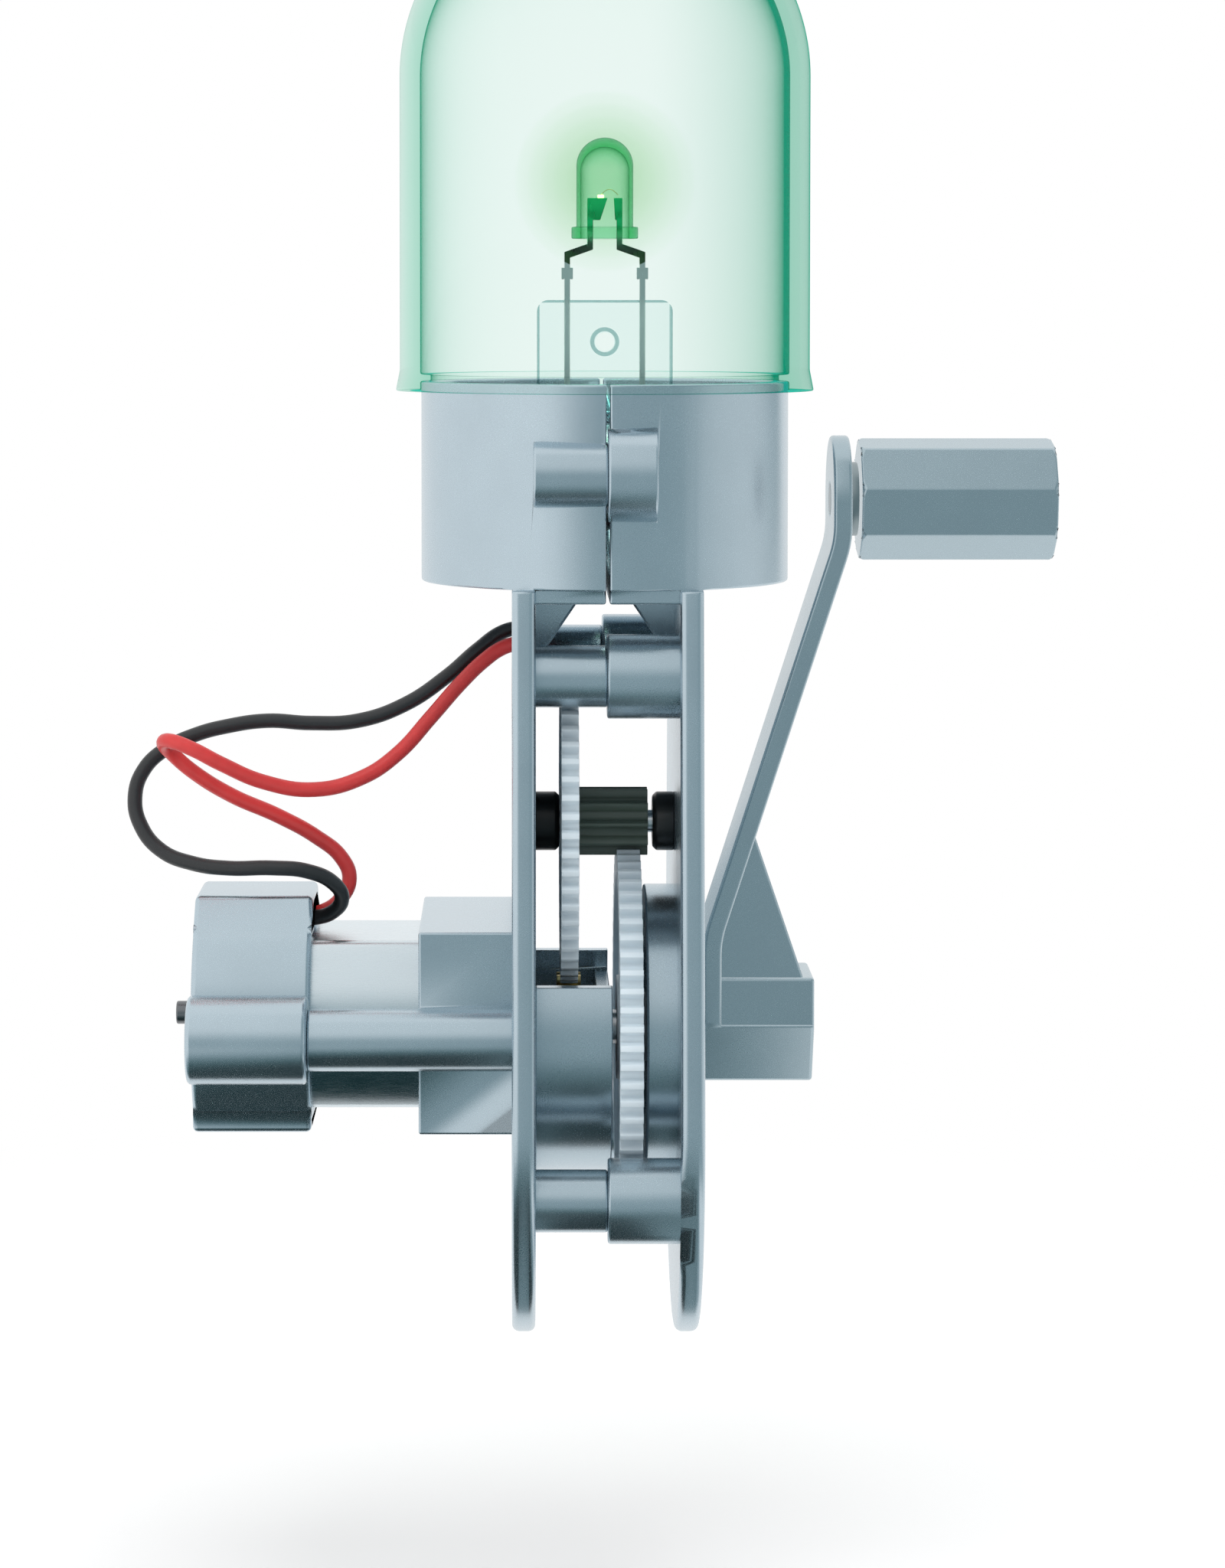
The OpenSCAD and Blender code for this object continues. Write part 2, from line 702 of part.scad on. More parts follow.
module drive_gear() {
    root_r = drive_pitch_r - pinion_add - root_clear;
    web_cut = drive_w / 4;
    color(pale_grey) difference() {
        union() {
            along_x(drive_x, drive_w) translate([0, crank_z])
                gear_outline(drive_teeth, root_r, drive_out_r, 90);
            rod(drive_x + drive_w, drum_h - crank_bush_flange_t, shaft_r + drum_wall, 0, crank_z);
        }
        translate([0, 0, crank_z]) wheel_recess(drive_x, -1, shaft_r + 2 * drum_wall, root_r - drum_wall, web_cut);
        translate([0, 0, crank_z])
            wheel_recess(drive_x + drive_w, 1, shaft_r + 2 * drum_wall, root_r - drum_wall, web_cut);
        rod(drive_x - cut, drive_w + drum_h + 2 * cut, shaft_r + fit, 0, crank_z);
    }
}

module idler_axle() {
    color(steel)
        rod(-inner_x - guard_peg_len, frame_gap + 2 * guard_peg_len, axle_r, 0, idler_z);
}

module idler_gear() {
    root_r = idler_pitch_r - pinion_add - root_clear;
    web_cut = idler_w / 4;
    color(pale_grey) difference() {
        along_x(idler_x, idler_w) translate([0, idler_z])
            gear_outline(idler_teeth, root_r, idler_out_r, -90);
        translate([0, 0, idler_z]) wheel_recess(idler_x, -1, pinion_out_r, root_r - drum_wall, web_cut);
        translate([0, 0, idler_z])
            wheel_recess(idler_x + idler_w, 1, pinion_out_r, root_r - drum_wall, web_cut);
        rod(idler_x - cut, idler_w + 2 * cut, axle_r + run_clear, 0, idler_z);
    }
}

module idler_pinion() {
    root_r = pinion_pitch_r - wheel_add - root_clear;
    color(dark_green_grey) difference() {
        along_x(pinion_x, pinion_end_x - pinion_x) translate([0, idler_z])
            gear_outline(pinion_teeth, root_r, pinion_out_r, -90 + 180 / pinion_teeth);
        rod(pinion_x - cut, pinion_end_x - pinion_x + 2 * cut, axle_r + run_clear, 0, idler_z);
    }
}

module idler_spacer_left() {
    color(black_plastic) difference() {
        union() {
            rod(-inner_x, spacer_len - spacer_chamfer, spacer_r, 0, idler_z);
            cone(-inner_x + spacer_len - spacer_chamfer, spacer_chamfer, spacer_r,
                spacer_r - spacer_chamfer, 0, idler_z);
        }
        rod(-inner_x - cut, spacer_len + 2 * cut, axle_r + fit, 0, idler_z);
    }
}

module idler_spacer_right() {
    x = inner_x - right_spacer_len;
    color(black_plastic) difference() {
        union() {
            cone(x, spacer_chamfer, spacer_r - spacer_chamfer, spacer_r, 0, idler_z);
            rod(x + spacer_chamfer, right_spacer_len - spacer_chamfer, spacer_r, 0, idler_z);
        }
        rod(x - cut, right_spacer_len + 2 * cut, axle_r + fit, 0, idler_z);
    }
}

module motor_can() {
    color(steel) difference() {
        union() {
            along_x(can_rear_x, can_len) translate([0, motor_z]) motor_outline(can_r, can_half);
            rod(can_front_x - cut, nose_len + cut, nose_r, 0, motor_z);
        }
        along_x(can_rear_x - cut, can_len - can_wall + cut) translate([0, motor_z])
            motor_outline(can_r - can_wall, can_half - can_wall);
        rod(can_front_x - can_wall - cut, can_wall + nose_len + 2 * cut, bearing_r + fit, 0, motor_z);
    }
}

module motor_front_bearing() {
    color(brass)
        bush(can_front_x - can_wall, can_wall + nose_len, rotor_r, bearing_r - rotor_r, 0, motor_z);
}

// End bell: a plug in the can, a plate behind it and a boss for the rear bearing
module motor_end_bell() {
    color(pale_grey) difference() {
        union() {
            along_x(bell_rear_x, bell_t) translate([0, motor_z]) motor_outline(can_r, can_half);
            along_x(can_rear_x, bell_plug) translate([0, motor_z])
                motor_outline(can_r - can_wall - fit, can_half - can_wall - fit);
            rod(bell_rear_x - bell_boss_h, bell_boss_h, bell_boss_r, 0, motor_z);
        }
        rod(bell_rear_x - bell_boss_h - cut, bell_t + bell_boss_h + bell_plug + 2 * cut,
            bearing_r + fit, 0, motor_z);
        for (s = [-1, 1]) terminal(s, fit);
        for (s = [-1, 1]) brush_arm(s, fit);
    }
}

module motor_rear_bearing() {
    color(brass)
        bush(bell_rear_x - bell_boss_h, bell_t + bell_boss_h, rotor_r, bearing_r - rotor_r, 0, motor_z);
}

// Two curved magnets on the can's round sides
module motor_magnets() {
    flat = can_half - can_wall - fit;
    color([0.25, 0.25, 0.26]) along_x(can_front_x - can_wall - magnet_gap - magnet_len, magnet_len)
        translate([0, motor_z]) difference() {
            intersection() {
                circle(r = can_r - can_wall - fit, $fn = 96);
                for (s = [-1, 1])
                    translate([s > 0 ? magnet_gap : -can_r - magnet_gap, -flat])
                        square([can_r, 2 * flat]);
            }
            circle(r = magnet_in_r, $fn = 96);
        }
}

module motor_shaft() {
    rear = cap_rear_x - stub_len;
    color(steel) rod(rear, shaft_end_x - rear, rotor_r, 0, motor_z);
}

// Three-pole core: a hub, three necks and three curved pole tips
module armature_core() {
    color([0.45, 0.45, 0.47]) along_x(core_x - core_len, core_len) translate([0, motor_z])
        difference() {
            union() {
                circle(r = core_hub_r);
                for (k = [0:2]) rotate(90 + 120 * k) translate([0, -core_neck / 2])
                    square([core_tip_r + fit, core_neck]);
                difference() {
                    circle(r = core_r, $fn = 96);
                    circle(r = core_tip_r, $fn = 96);
                    for (k = [0:2]) rotate(30 + 120 * k) translate([0, -core_slot / 2])
                        square([core_r + cut, core_slot]);
                }
            }
            circle(r = rotor_r);
        }
}

// One coil round each neck of the core
module armature_windings() {
    color(copper)
        for (k = [0:2]) translate([0, 0, motor_z]) rotate([120 * k, 0, 0]) difference() {
            translate([core_x - core_len - winding_t, -winding_half, core_hub_r + fit])
                cube([core_len + 2 * winding_t, 2 * winding_half, winding_out_r - core_hub_r - fit]);
            translate([core_x - core_len - fit, -core_neck / 2 - fit, 0])
                cube([core_len + 2 * fit, core_neck + 2 * fit, core_r]);
        }
}

module commutator() {
    color(copper) translate([commutator_x, 0, motor_z]) difference() {
        rod(0, commutator_len, commutator_r);
        rod(-cut, commutator_len + 2 * cut, rotor_r);
        for (k = [0:2]) rotate([120 * k, 0, 0])
            translate([-cut, -commutator_slot / 2, commutator_r - commutator_slot])
                cube([commutator_len + 2 * cut, commutator_slot, commutator_r]);
    }
}

// Brush beside the commutator, with the arm that holds it in the end bell
module brush_arm(s, grow) {
    y = commutator_r + brush_gap;
    translate([can_rear_x - grow, s > 0 ? y - grow : -y - brush_t - grow, motor_z - brush_len / 2 - grow])
        cube([bell_plug + commutator_len + grow, brush_t + 2 * grow, brush_len + 2 * grow]);
}

module motor_brushes() {
    color(brass) for (s = [-1, 1]) brush_arm(s, 0);
}

// Terminal tab that stands on the end bell behind a wire's end
module terminal(s, grow) {
    translate([
        terminal_x - terminal_t - grow, s * wire_y - terminal_half - grow,
        motor_z + can_half - terminal_foot - grow
    ])
        cube([
            terminal_t + 2 * grow, 2 * (terminal_half + grow),
            terminal_top - can_half + terminal_foot + 2 * grow
        ]);
}

module motor_terminals() {
    color(brass) for (s = [-1, 1]) terminal(s, 0);
}

module motor_pinion() {
    root_r = motor_pitch_r - wheel_add - root_clear;
    color(brass) difference() {
        along_x(motor_pinion_x, pinion_len) translate([0, motor_z])
            gear_outline(motor_teeth, root_r, motor_pitch_r + pinion_add, 90 + 180 / motor_teeth);
        rod(motor_pinion_x - cut, pinion_len + 2 * cut, rotor_r, 0, motor_z);
    }
}

// Rear cap: a shell round the motor, two lobes, a roof with sloping sides and a square base
module motor_cap() {
    color(silver) difference() {
        union() {
            along_x(cap_rear_x, cap_len) translate([0, motor_z]) {
                motor_outline(shell_r, shell_half);
                for (s = [-1, 1]) translate([s * tie_y, 0]) circle(r = lobe_r);
                translate([-tie_y, -lobe_web_half]) square([2 * tie_y, 2 * lobe_web_half]);
                polygon([
                    [-cap_shoulder_y, cap_shoulder_z], [-cap_block_half, cap_block_top],
                    [cap_block_half, cap_block_top], [cap_shoulder_y, cap_shoulder_z],
                    [cap_base_half, 0], [cap_base_half, -cap_base_low],
                    [-cap_base_half, -cap_base_low], [-cap_base_half, 0]
                ]);
            }
        }
        along_x(cap_rear_x + cap_end_t, cap_len) translate([0, motor_z])
            motor_outline(can_r + shell_clear, can_half + shell_clear);
        translate([cap_rear_x + cap_end_t, -channel_half, motor_z])
            cube([cap_len, 2 * channel_half, cap_block_top - channel_roof]);
        rod(cap_rear_x - cut, cap_end_t + 2 * cut, shaft_hole_r, 0, motor_z);
        for (s = [-1, 1]) {
            rod(cap_rear_x - cut, cap_len + 2 * cut, screw_hole_r, s * tie_y, motor_z);
            rod(cap_rear_x - cut, cap_len - cap_seat_t + cut, head_hole_r, s * tie_y, motor_z);
        }
    }
}

module motor_screws() {
    color(steel) for (s = [-1, 1]) mirror([1, 0, 0])
        screw(-cap_x + cap_seat_t, cap_seat_t + tie_screw_grip - screw_tip, s * tie_y, motor_z);
}

// Middle line of the arm, seen from the front, as an offset of x at a height
function arm_points(shift) = [
    [arm_mid_low + shift, crank_z - hub_low_z],
    [arm_mid_low + shift, arm_bend_low_z],
    for (k = [1:5]) arm_arc(k / 5, shift, 0),
    for (k = [0:5]) arm_arc(k / 5, shift, 1),
    [arm_mid_top + shift, knob_z + arm_top_half]
];

// Lean of the arm's straight part from the vertical, so that it meets both bends smoothly
arm_rise = arm_bend_top_z - arm_bend_low_z;
arm_over = 2 * arm_bend_r - arm_reach;
arm_lean = asin(2 * arm_bend_r / norm([arm_rise, arm_over])) - atan2(arm_over, arm_rise);

// Points on the two bends: the lower one bends outwards, the upper one back to the vertical
function arm_arc(share, shift, upper) =
    upper == 0
    ? let (a = arm_lean * share)
        [
            arm_mid_low + arm_bend_r * (1 - cos(a)) + shift * cos(a),
            arm_bend_low_z + arm_bend_r * sin(a) - shift * sin(a)
        ]
    : let (a = arm_lean * (1 - share))
        [
            arm_mid_top - arm_bend_r * (1 - cos(a)) + shift * cos(a),
            arm_bend_top_z - arm_bend_r * sin(a) - shift * sin(a)
        ];

// Height of the gusset's tip above the point where the arm's lower bend would be a corner
gusset_lean = gusset_top_z - arm_bend_low_z - arm_bend_r * tan(arm_lean / 2);

// Outline of the arm from the front
module arm_profile() {
    left = arm_points(-arm_t / 2);
    right = arm_points(arm_t / 2);
    polygon(concat(left, [for (k = [len(right) - 1:-1:0]) right[k]]));
}

// Outline of the arm from the side: round at the knob, with a foot as wide as the hub
module arm_side() {
    translate([0, knob_z]) circle(r = arm_top_half);
    translate([0, crank_z]) polygon([
        [arm_top_half, crank_throw], [-arm_top_half, crank_throw],
        [-hub_half, hub_top], [-hub_half, hub_step_z], [-hub_low_half, -hub_low_z],
        [hub_low_half, -hub_low_z], [hub_half, hub_step_z], [hub_half, hub_top]
    ]);
}

// Outline of the hub from the side: flat on top, stepped out at the middle, drawn in below
module hub_outline() {
    top_half = hub_half - hub_inset;
    translate([0, crank_z]) polygon([
        [-top_half, hub_top], [top_half, hub_top], [top_half, hub_step_z], [hub_half, hub_step_z],
        [hub_low_half, -hub_low_z], [-hub_low_half, -hub_low_z],
        [-hub_half, hub_step_z], [-top_half, hub_step_z]
    ]);
}

// Crank arm with its gusset and hub
module crank_arm() {
    shaft_end = hub_x + hub_len - hub_end_recess - hub_end_t;
    color(silver) difference() {
        union() {
            intersection() {
                translate([0, arm_top_half, 0]) rotate([90, 0, 0])
                    linear_extrude(height = 2 * arm_top_half) arm_profile();
                along_x(arm_x - cut, arm_reach + arm_t + 2 * cut) arm_side();
            }
            along_x(hub_x, hub_len) hub_outline();
            translate([0, arm_gusset_half, 0]) rotate([90, 0, 0])
                linear_extrude(height = 2 * arm_gusset_half) polygon([
                    [hub_x + fit, crank_z + hub_top - fit],
                    [hub_x + gusset_foot, crank_z + hub_top - fit],
                    [arm_mid_low + gusset_lean * tan(arm_lean), gusset_top_z],
                    [arm_mid_low, arm_bend_low_z]
                ]);
        }
        difference() {
            rod(hub_x - cut, shaft_end - hub_x + cut, shaft_r + fit, 0, crank_z);
            translate([hub_x - 2 * cut, -shaft_r - cut, crank_z + shaft_r - flat_depth + fit])
                cube([hub_len, 2 * (shaft_r + cut), shaft_r]);
        }
        rod(hub_x, hub_len + cut, crank_screw_r + 2 * fit, 0, crank_z);
        rod(hub_x + hub_len - hub_end_recess, hub_end_recess + cut, crank_screw_head_r + fit, 0, crank_z);
        rod(arm_mid_top - arm_t, 2 * arm_t, knob_pin_root_r + fit, 0, knob_z);
    }
}

module crank_screw() {
    seat = hub_x + hub_len - hub_end_recess;
    shank = crank_screw_len + hub_end_t - screw_tip;
    color(steel) union() {
        rod(seat - shank, shank, crank_screw_r, 0, crank_z);
        rod(seat, crank_screw_head_h, crank_screw_head_r, 0, crank_z);
    }
}

// Pin of the knob: root in the arm, collar beside it and the journal that the knob turns on
module knob_pin() {
    journal = knob_len - knob_recess_len - knob_gap;
    color(steel) difference() {
        union() {
            rod(collar_x - arm_t, arm_t, knob_pin_root_r, 0, knob_z);
            rod(collar_x, collar_len, collar_r, 0, knob_z);
            rod(collar_x + collar_len, journal + 2 * knob_gap, knob_pin_r, 0, knob_z);
        }
        rod(knob_x + journal - knob_screw_len, knob_screw_len + cut + knob_gap,
            knob_screw_r + fit, 0, knob_z);
    }
}

module knob_screw() {
    journal = knob_len - knob_recess_len - knob_gap;
    seat = knob_x + journal + knob_gap;
    shank = knob_screw_len - screw_tip;
    color(steel) union() {
        rod(seat - shank, shank, knob_screw_r, 0, knob_z);
        rod(seat, knob_screw_head_h, knob_screw_head_r, 0, knob_z);
    }
}

// Eight-sided knob with clipped corners at its ends and a bore for the pin
module crank_knob() {
    color(silver) difference() {
        intersection() {
            along_x(knob_x, knob_len) translate([0, knob_z]) rotate(knob_turn) circle(r = knob_r, $fn = 8);
            translate([knob_x, 0, knob_z]) rotate([0, 90, 0]) rotate_extrude() polygon([
                [0, 0], [knob_r - knob_chamfer, 0], [knob_r, knob_chamfer],
                [knob_r, knob_len - knob_chamfer], [knob_r - knob_chamfer, knob_len], [0, knob_len]
            ]);
        }
        rod(knob_x - cut, knob_len + 2 * cut, knob_pin_r + run_clear, 0, knob_z);
        rod(knob_x + knob_len - knob_recess_len, knob_recess_len + cut, knob_recess_r, 0, knob_z);
    }
}

// Disc that closes the knob's outer end
module knob_cap() {
    color(silver)
        rod(knob_x + knob_len - knob_cap_t, knob_cap_t, knob_recess_r - fit, 0, knob_z);
}

// Dome: a straight wall, half a ball on top and a slightly flared rim
module dome() {
    color(clear_green) difference() {
        union() {
            translate([0, 0, dome_z]) cylinder(r1 = dome_r + rim_flare, r2 = dome_r, h = rim_h, $fn = 144);
            translate([0, 0, dome_z + rim_h]) cylinder(r = dome_r, h = dome_side - rim_h, $fn = 144);
            intersection() {
                translate([0, 0, dome_ball_z]) sphere(r = dome_r, $fn = 144);
                translate([-2 * dome_r, -2 * dome_r, dome_ball_z]) cube([4 * dome_r, 4 * dome_r, 2 * dome_r]);
            }
        }
        translate([0, 0, dome_z - cut]) cylinder(r = dome_in_r, h = dome_overlap + cut, $fn = 144);
        translate([0, 0, dome_z]) cylinder(r = dome_ring_r, h = dome_side, $fn = 144);
        translate([0, 0, neck_top + dome_ring_h])
            cylinder(r = dome_in_r, h = dome_side - dome_overlap - dome_ring_h, $fn = 144);
        intersection() {
            translate([0, 0, dome_ball_z - fit]) sphere(r = dome_in_r, $fn = 144);
            translate([-2 * dome_r, -2 * dome_r, dome_ball_z - fit]) cube([4 * dome_r, 4 * dome_r, 2 * dome_r]);
        }
    }
}

// One lead of the LED, drawn from the front: inner post with a widened top, outward bend,
// and a long leg with a short wide stretch
module lead_outline(s, widen) {
    half = lead_t / 2;
    leg = lead_gap / 2;
    wide = stub_w / 2;
    top = anvil_z + anvil_h;
    polygon([
        [s * (lead_inner + half), top],
        [s * (lead_inner + half), lead_bend_z + half],
        [s * (leg + half), lead_bend_z - lead_slope + half],
        [s * (leg + half), stub_z + wide],
        [s * (leg + wide), stub_z + wide],
        [s * (leg + wide), stub_z - wide],
        [s * (leg + half), stub_z - wide],
        [s * (leg + half), lead_end_z],
        [s * (leg - half), lead_end_z],
        [s * (leg - half), stub_z - wide],
        [s * (leg - wide), stub_z - wide],
        [s * (leg - wide), stub_z + wide],
        [s * (leg - half), stub_z + wide],
        [s * (leg - half), lead_bend_z - lead_slope - half],
        [s * (lead_inner - half), lead_bend_z - half],
        [s * (lead_inner - half), anvil_z],
        [s * (lead_inner - half - widen / 2), anvil_z],
        [s * (lead_inner - half - widen), top]
    ]);
}

// The two leads: one carries the wide anvil under the chip, the other the end of the bond wire
module led_leads() {
    color(steel) translate([0, lead_t / 2, 0]) rotate([90, 0, 0])
        linear_extrude(height = lead_t) {
            lead_outline(-1, anvil_w - lead_t / 2);
            lead_outline(1, lead_t / 2);
        }
}

module led_lens() {
    tip = led_z + led_h - led_r;
    color(clear_green) difference() {
        union() {
            translate([0, 0, led_z]) cylinder(r = led_flange_r, h = led_flange_t);
            translate([0, 0, led_z]) cylinder(r = led_r, h = led_h - led_r);
            intersection() {
                translate([0, 0, tip]) sphere(r = led_r);
                translate([-2 * led_r, -2 * led_r, tip]) cube(4 * led_r);
            }
        }
        translate([0, lead_t / 2, 0]) rotate([90, 0, 0]) linear_extrude(height = lead_t) {
            lead_outline(-1, anvil_w - lead_t / 2);
            lead_outline(1, lead_t / 2);
        }
    }
}

// Clear holder: a plate with two grooves that hold the leads, a ring, and a disc in the neck
module led_holder() {
    half = holder_w / 2;
    foot = holder_disc_z + holder_disc_t;
    ring_z = holder_top - ring_drop;
    color(clear) difference() {
        union() {
            translate([0, holder_t / 2, 0]) rotate([90, 0, 0]) linear_extrude(height = holder_t) {
                translate([-half, foot - fit]) square([holder_w, holder_top - foot - holder_corner + fit]);
                translate([-half + holder_corner, foot])
                    square([holder_w - 2 * holder_corner, holder_top - foot]);
                for (s = [-1, 1]) translate([s * (half - holder_corner), holder_top - holder_corner])
                    circle(r = holder_corner);
            }
            translate([0, 0, holder_disc_z])
                cylinder(r = neck_r - neck_wall - fit, h = holder_disc_t, $fn = 144);
            translate([0, -holder_t / 2, ring_z]) rotate([90, 0, 0]) cylinder(r = ring_r, h = ring_h);
        }
        translate([0, cut + holder_t, ring_z]) rotate([90, 0, 0])
            cylinder(r = ring_hole_r, h = 2 * (cut + holder_t));
        for (s = [-1, 1])
            translate([s * lead_gap / 2 - lead_t / 2 - fit, -holder_t / 2 - cut, holder_disc_z - cut])
                cube([
                    lead_t + 2 * fit, cut + holder_t / 2 + lead_t / 2 + fit,
                    holder_top - holder_disc_z + 2 * cut
                ]);
    }
}

// Frames of a tube along a route: the direction at each point
function unit(v) = v / norm(v);
function heading(route, i) =
    let (last = len(route) - 1)
    unit(route[min(i + 1, last)] - route[max(i - 1, 0)]);

// Sideways vector at each point, carried along so that the tube doesn't twist
function carried(route, i) =
    i == 0
    ? unit(cross(heading(route, 0), [1, 0.2, 0.1]))
    : let (h = heading(route, i), v = carried(route, i - 1))
        unit(v - h * (v * h));

// Tube along a route, with a ring of points at every point of the route
module tube(route, d) {
    n = wire_sides;
    last = len(route) - 1;
    rings = [
        for (i = [0:last])
            let (h = heading(route, i), u = carried(route, i), w = cross(h, u))
            for (k = [0:n - 1]) route[i] + d / 2 * (u * cos(360 * k / n) + w * sin(360 * k / n))
    ];
    sides = [
        for (i = [0:last - 1], k = [0:n - 1])
            let (a = i * n + k, b = i * n + (k + 1) % n)
            each [[a, b + n, b], [a, a + n, b + n]]
    ];
    start = [for (k = [1:n - 2]) [0, k, k + 1]];
    end = [for (k = [1:n - 2]) [last * n, last * n + k + 1, last * n + k]];
    polyhedron(points = rings, faces = concat(sides, start, end));
}

module wire_red() {
    color([0.72, 0.12, 0.12]) tube(red_route, wire_d);
}

module wire_black() {
    color([0.06, 0.06, 0.07]) tube(black_route, wire_d);
}

frame_left();
frame_right();
frame_screws();
gear_guard();
guard_bush();
crank_bush();
crank_shaft();
drive_gear();
idler_axle();
idler_gear();
idler_pinion();
idler_spacer_left();
idler_spacer_right();
motor_can();
motor_end_bell();
motor_front_bearing();
motor_rear_bearing();
motor_magnets();
motor_shaft();
armature_core();
armature_windings();
commutator();
motor_brushes();
motor_terminals();
motor_pinion();
motor_cap();
motor_screws();
crank_arm();
crank_screw();
knob_pin();
knob_screw();
crank_knob();
knob_cap();
dome();
led_lens();
led_leads();
led_holder();
wire_red();
wire_black();
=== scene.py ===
"""Finishes a hand-cranked dynamo flashlight without its grip: wires, edges, screws, lamp,
materials, studio and camera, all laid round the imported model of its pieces."""

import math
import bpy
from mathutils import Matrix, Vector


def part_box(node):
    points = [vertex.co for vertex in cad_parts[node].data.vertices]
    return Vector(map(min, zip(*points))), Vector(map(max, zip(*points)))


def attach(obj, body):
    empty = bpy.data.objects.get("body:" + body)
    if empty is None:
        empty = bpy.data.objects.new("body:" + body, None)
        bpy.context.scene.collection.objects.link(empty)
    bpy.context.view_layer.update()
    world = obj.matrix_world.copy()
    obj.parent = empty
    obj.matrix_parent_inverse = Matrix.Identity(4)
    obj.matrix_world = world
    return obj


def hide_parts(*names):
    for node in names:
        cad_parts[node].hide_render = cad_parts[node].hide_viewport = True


bl_info = {
    "name": "Dynamo flashlight finish",
    "version": (1, 0, 0),
    "blender": (4, 5, 0),
    "location": "3D View > Sidebar > Flashlight",
    "description": "Wires, edges, screws, lamp, materials and studio of a hand-cranked flashlight",
    "category": "Object",
}

import bmesh
import bpy
import numpy as np
from bpy.props import FloatProperty, FloatVectorProperty, PointerProperty

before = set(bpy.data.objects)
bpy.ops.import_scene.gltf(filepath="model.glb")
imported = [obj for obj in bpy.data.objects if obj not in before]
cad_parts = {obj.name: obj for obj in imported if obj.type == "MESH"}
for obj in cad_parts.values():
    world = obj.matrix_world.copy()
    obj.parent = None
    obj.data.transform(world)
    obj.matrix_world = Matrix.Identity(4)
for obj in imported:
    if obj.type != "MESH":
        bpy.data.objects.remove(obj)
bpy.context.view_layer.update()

MM = 0.001
TAU = 2 * math.pi
WHITE = (1.0, 1.0, 1.0, 1.0)

# Meshes: points nearer than this are one point, and faces flatter than this are one face
SAME_POINT = 0.0005 * MM
SAME_CAD_POINT = 0.002 * MM
FLAT = math.radians(0.4)

# Scale of Blender's wave texture, times the width of one band
BAND_SCALE = 0.32

# Frame, in millimetres: the neck, the round feet, the lower posts and how far the plate's edge
# stays sharp round them, the thin lip above the neck's underside, and the cut below it
NECK_HEIGHT = 17.2
FOOT_R = 20.0
POST_Y, POST_Z, POST_REACH = 15.56, 14.2, 5.5
LIP_RISE = 13.4
CUT_DROP = 1.7

# Dome: how far its rim stands out past the wall, and the wall's thickness
DOME_FLARE = 0.35 * MM
DOME_WALL = 1.75 * MM

# Camera: where it stands, how far it looks down, and its picture plane in pixels
IMAGE_H = 2048
SENSOR = 36.0
CAMERA_PLACE = (-7.204 * MM, -369.864 * MM, 89.439 * MM)
CAMERA_PITCH = 2.5
FOCAL_PX = 5584.217
SHIFT_PX = (119.052, -388.888)

# Routes of the two wires in millimetres, from the lamp's leads to the generator's terminals
BLACK_ROUTE = [
    (3.25, 0, 76), (3.25, 0, 74.6), (3, 0.3, 73.1), (2, 1.3, 71.4), (0.2, 2.9, 70),
    (-1.5, 4.1, 68.7), (-2.6, 4.8, 67.2), (-2.9, 4.8, 65.5), (-3.1, 4.8, 63.6),
    (-3.9, 4.8, 61.9), (-5.6, 4.8, 60.9), (-7, 4.8, 60.7), (-8.8, 4.7, 60.3),
    (-11, 4, 58.8), (-13.6, 3.2, 56.6), (-17.4, 2.4, 54.1), (-21.5, 2.2, 52.7),
    (-25.6, 2.2, 52.5), (-29.4, 2.2, 52.7), (-33, 2.2, 52.2), (-35.6, 2.2, 51.5),
    (-38.2, 1.8, 50.3), (-40.1, 1.2, 48.5), (-40.8, 0.4, 46.2), (-40.2, -0.5, 43.8),
    (-38.4, -1.4, 41.8), (-35.6, -2.4, 40.8), (-32.4, -3.3, 40.5), (-28.6, -3.9, 40.6),
    (-25.6, -3.8, 40.3), (-23.4, -3.2, 39.2), (-22.7, -2.4, 37.8), (-23.5, -1.6, 36.5),
    (-25.2, -1.2, 35.9), (-27.2, -1.2, 35.85), (-29.5, -1.2, 35.85),
]
RED_ROUTE = [
    (-3.25, 0, 76), (-3.25, 0, 74.6), (-3.3, 0.2, 73), (-3.6, 0.9, 71.2), (-4, 1.9, 69.6),
    (-4.2, 2.7, 68), (-4.3, 3, 66.4), (-4.3, 3, 64.6), (-4.3, 3, 62.6), (-4.8, 3, 60.9),
    (-5.9, 3, 59.9), (-7.3, 3, 59.5), (-8.9, 2.9, 59), (-10.5, 2.6, 57.9), (-12.4, 2.1, 56.1),
    (-15, 1.2, 53.2), (-18, 0, 50), (-21, -1.2, 48.1), (-25, -2.4, 47.2),
    (-29.4, -3.6, 48), (-33, -4.7, 49.7), (-35.4, -5.1, 51), (-37.2, -4.5, 51.6),
    (-38, -3, 51.3), (-37.4, -1.4, 50.2), (-35.6, -0.6, 48.5), (-32.4, 0.2, 46.4),
    (-28.3, 0.8, 44.5), (-25, 1.2, 42.6), (-22.9, 1.4, 40.8), (-22.2, 1.4, 39),
    (-22.9, 1.3, 37.3), (-24.6, 1.2, 36.1), (-26.5, 1.2, 35.85), (-29.5, 1.2, 35.85),
]


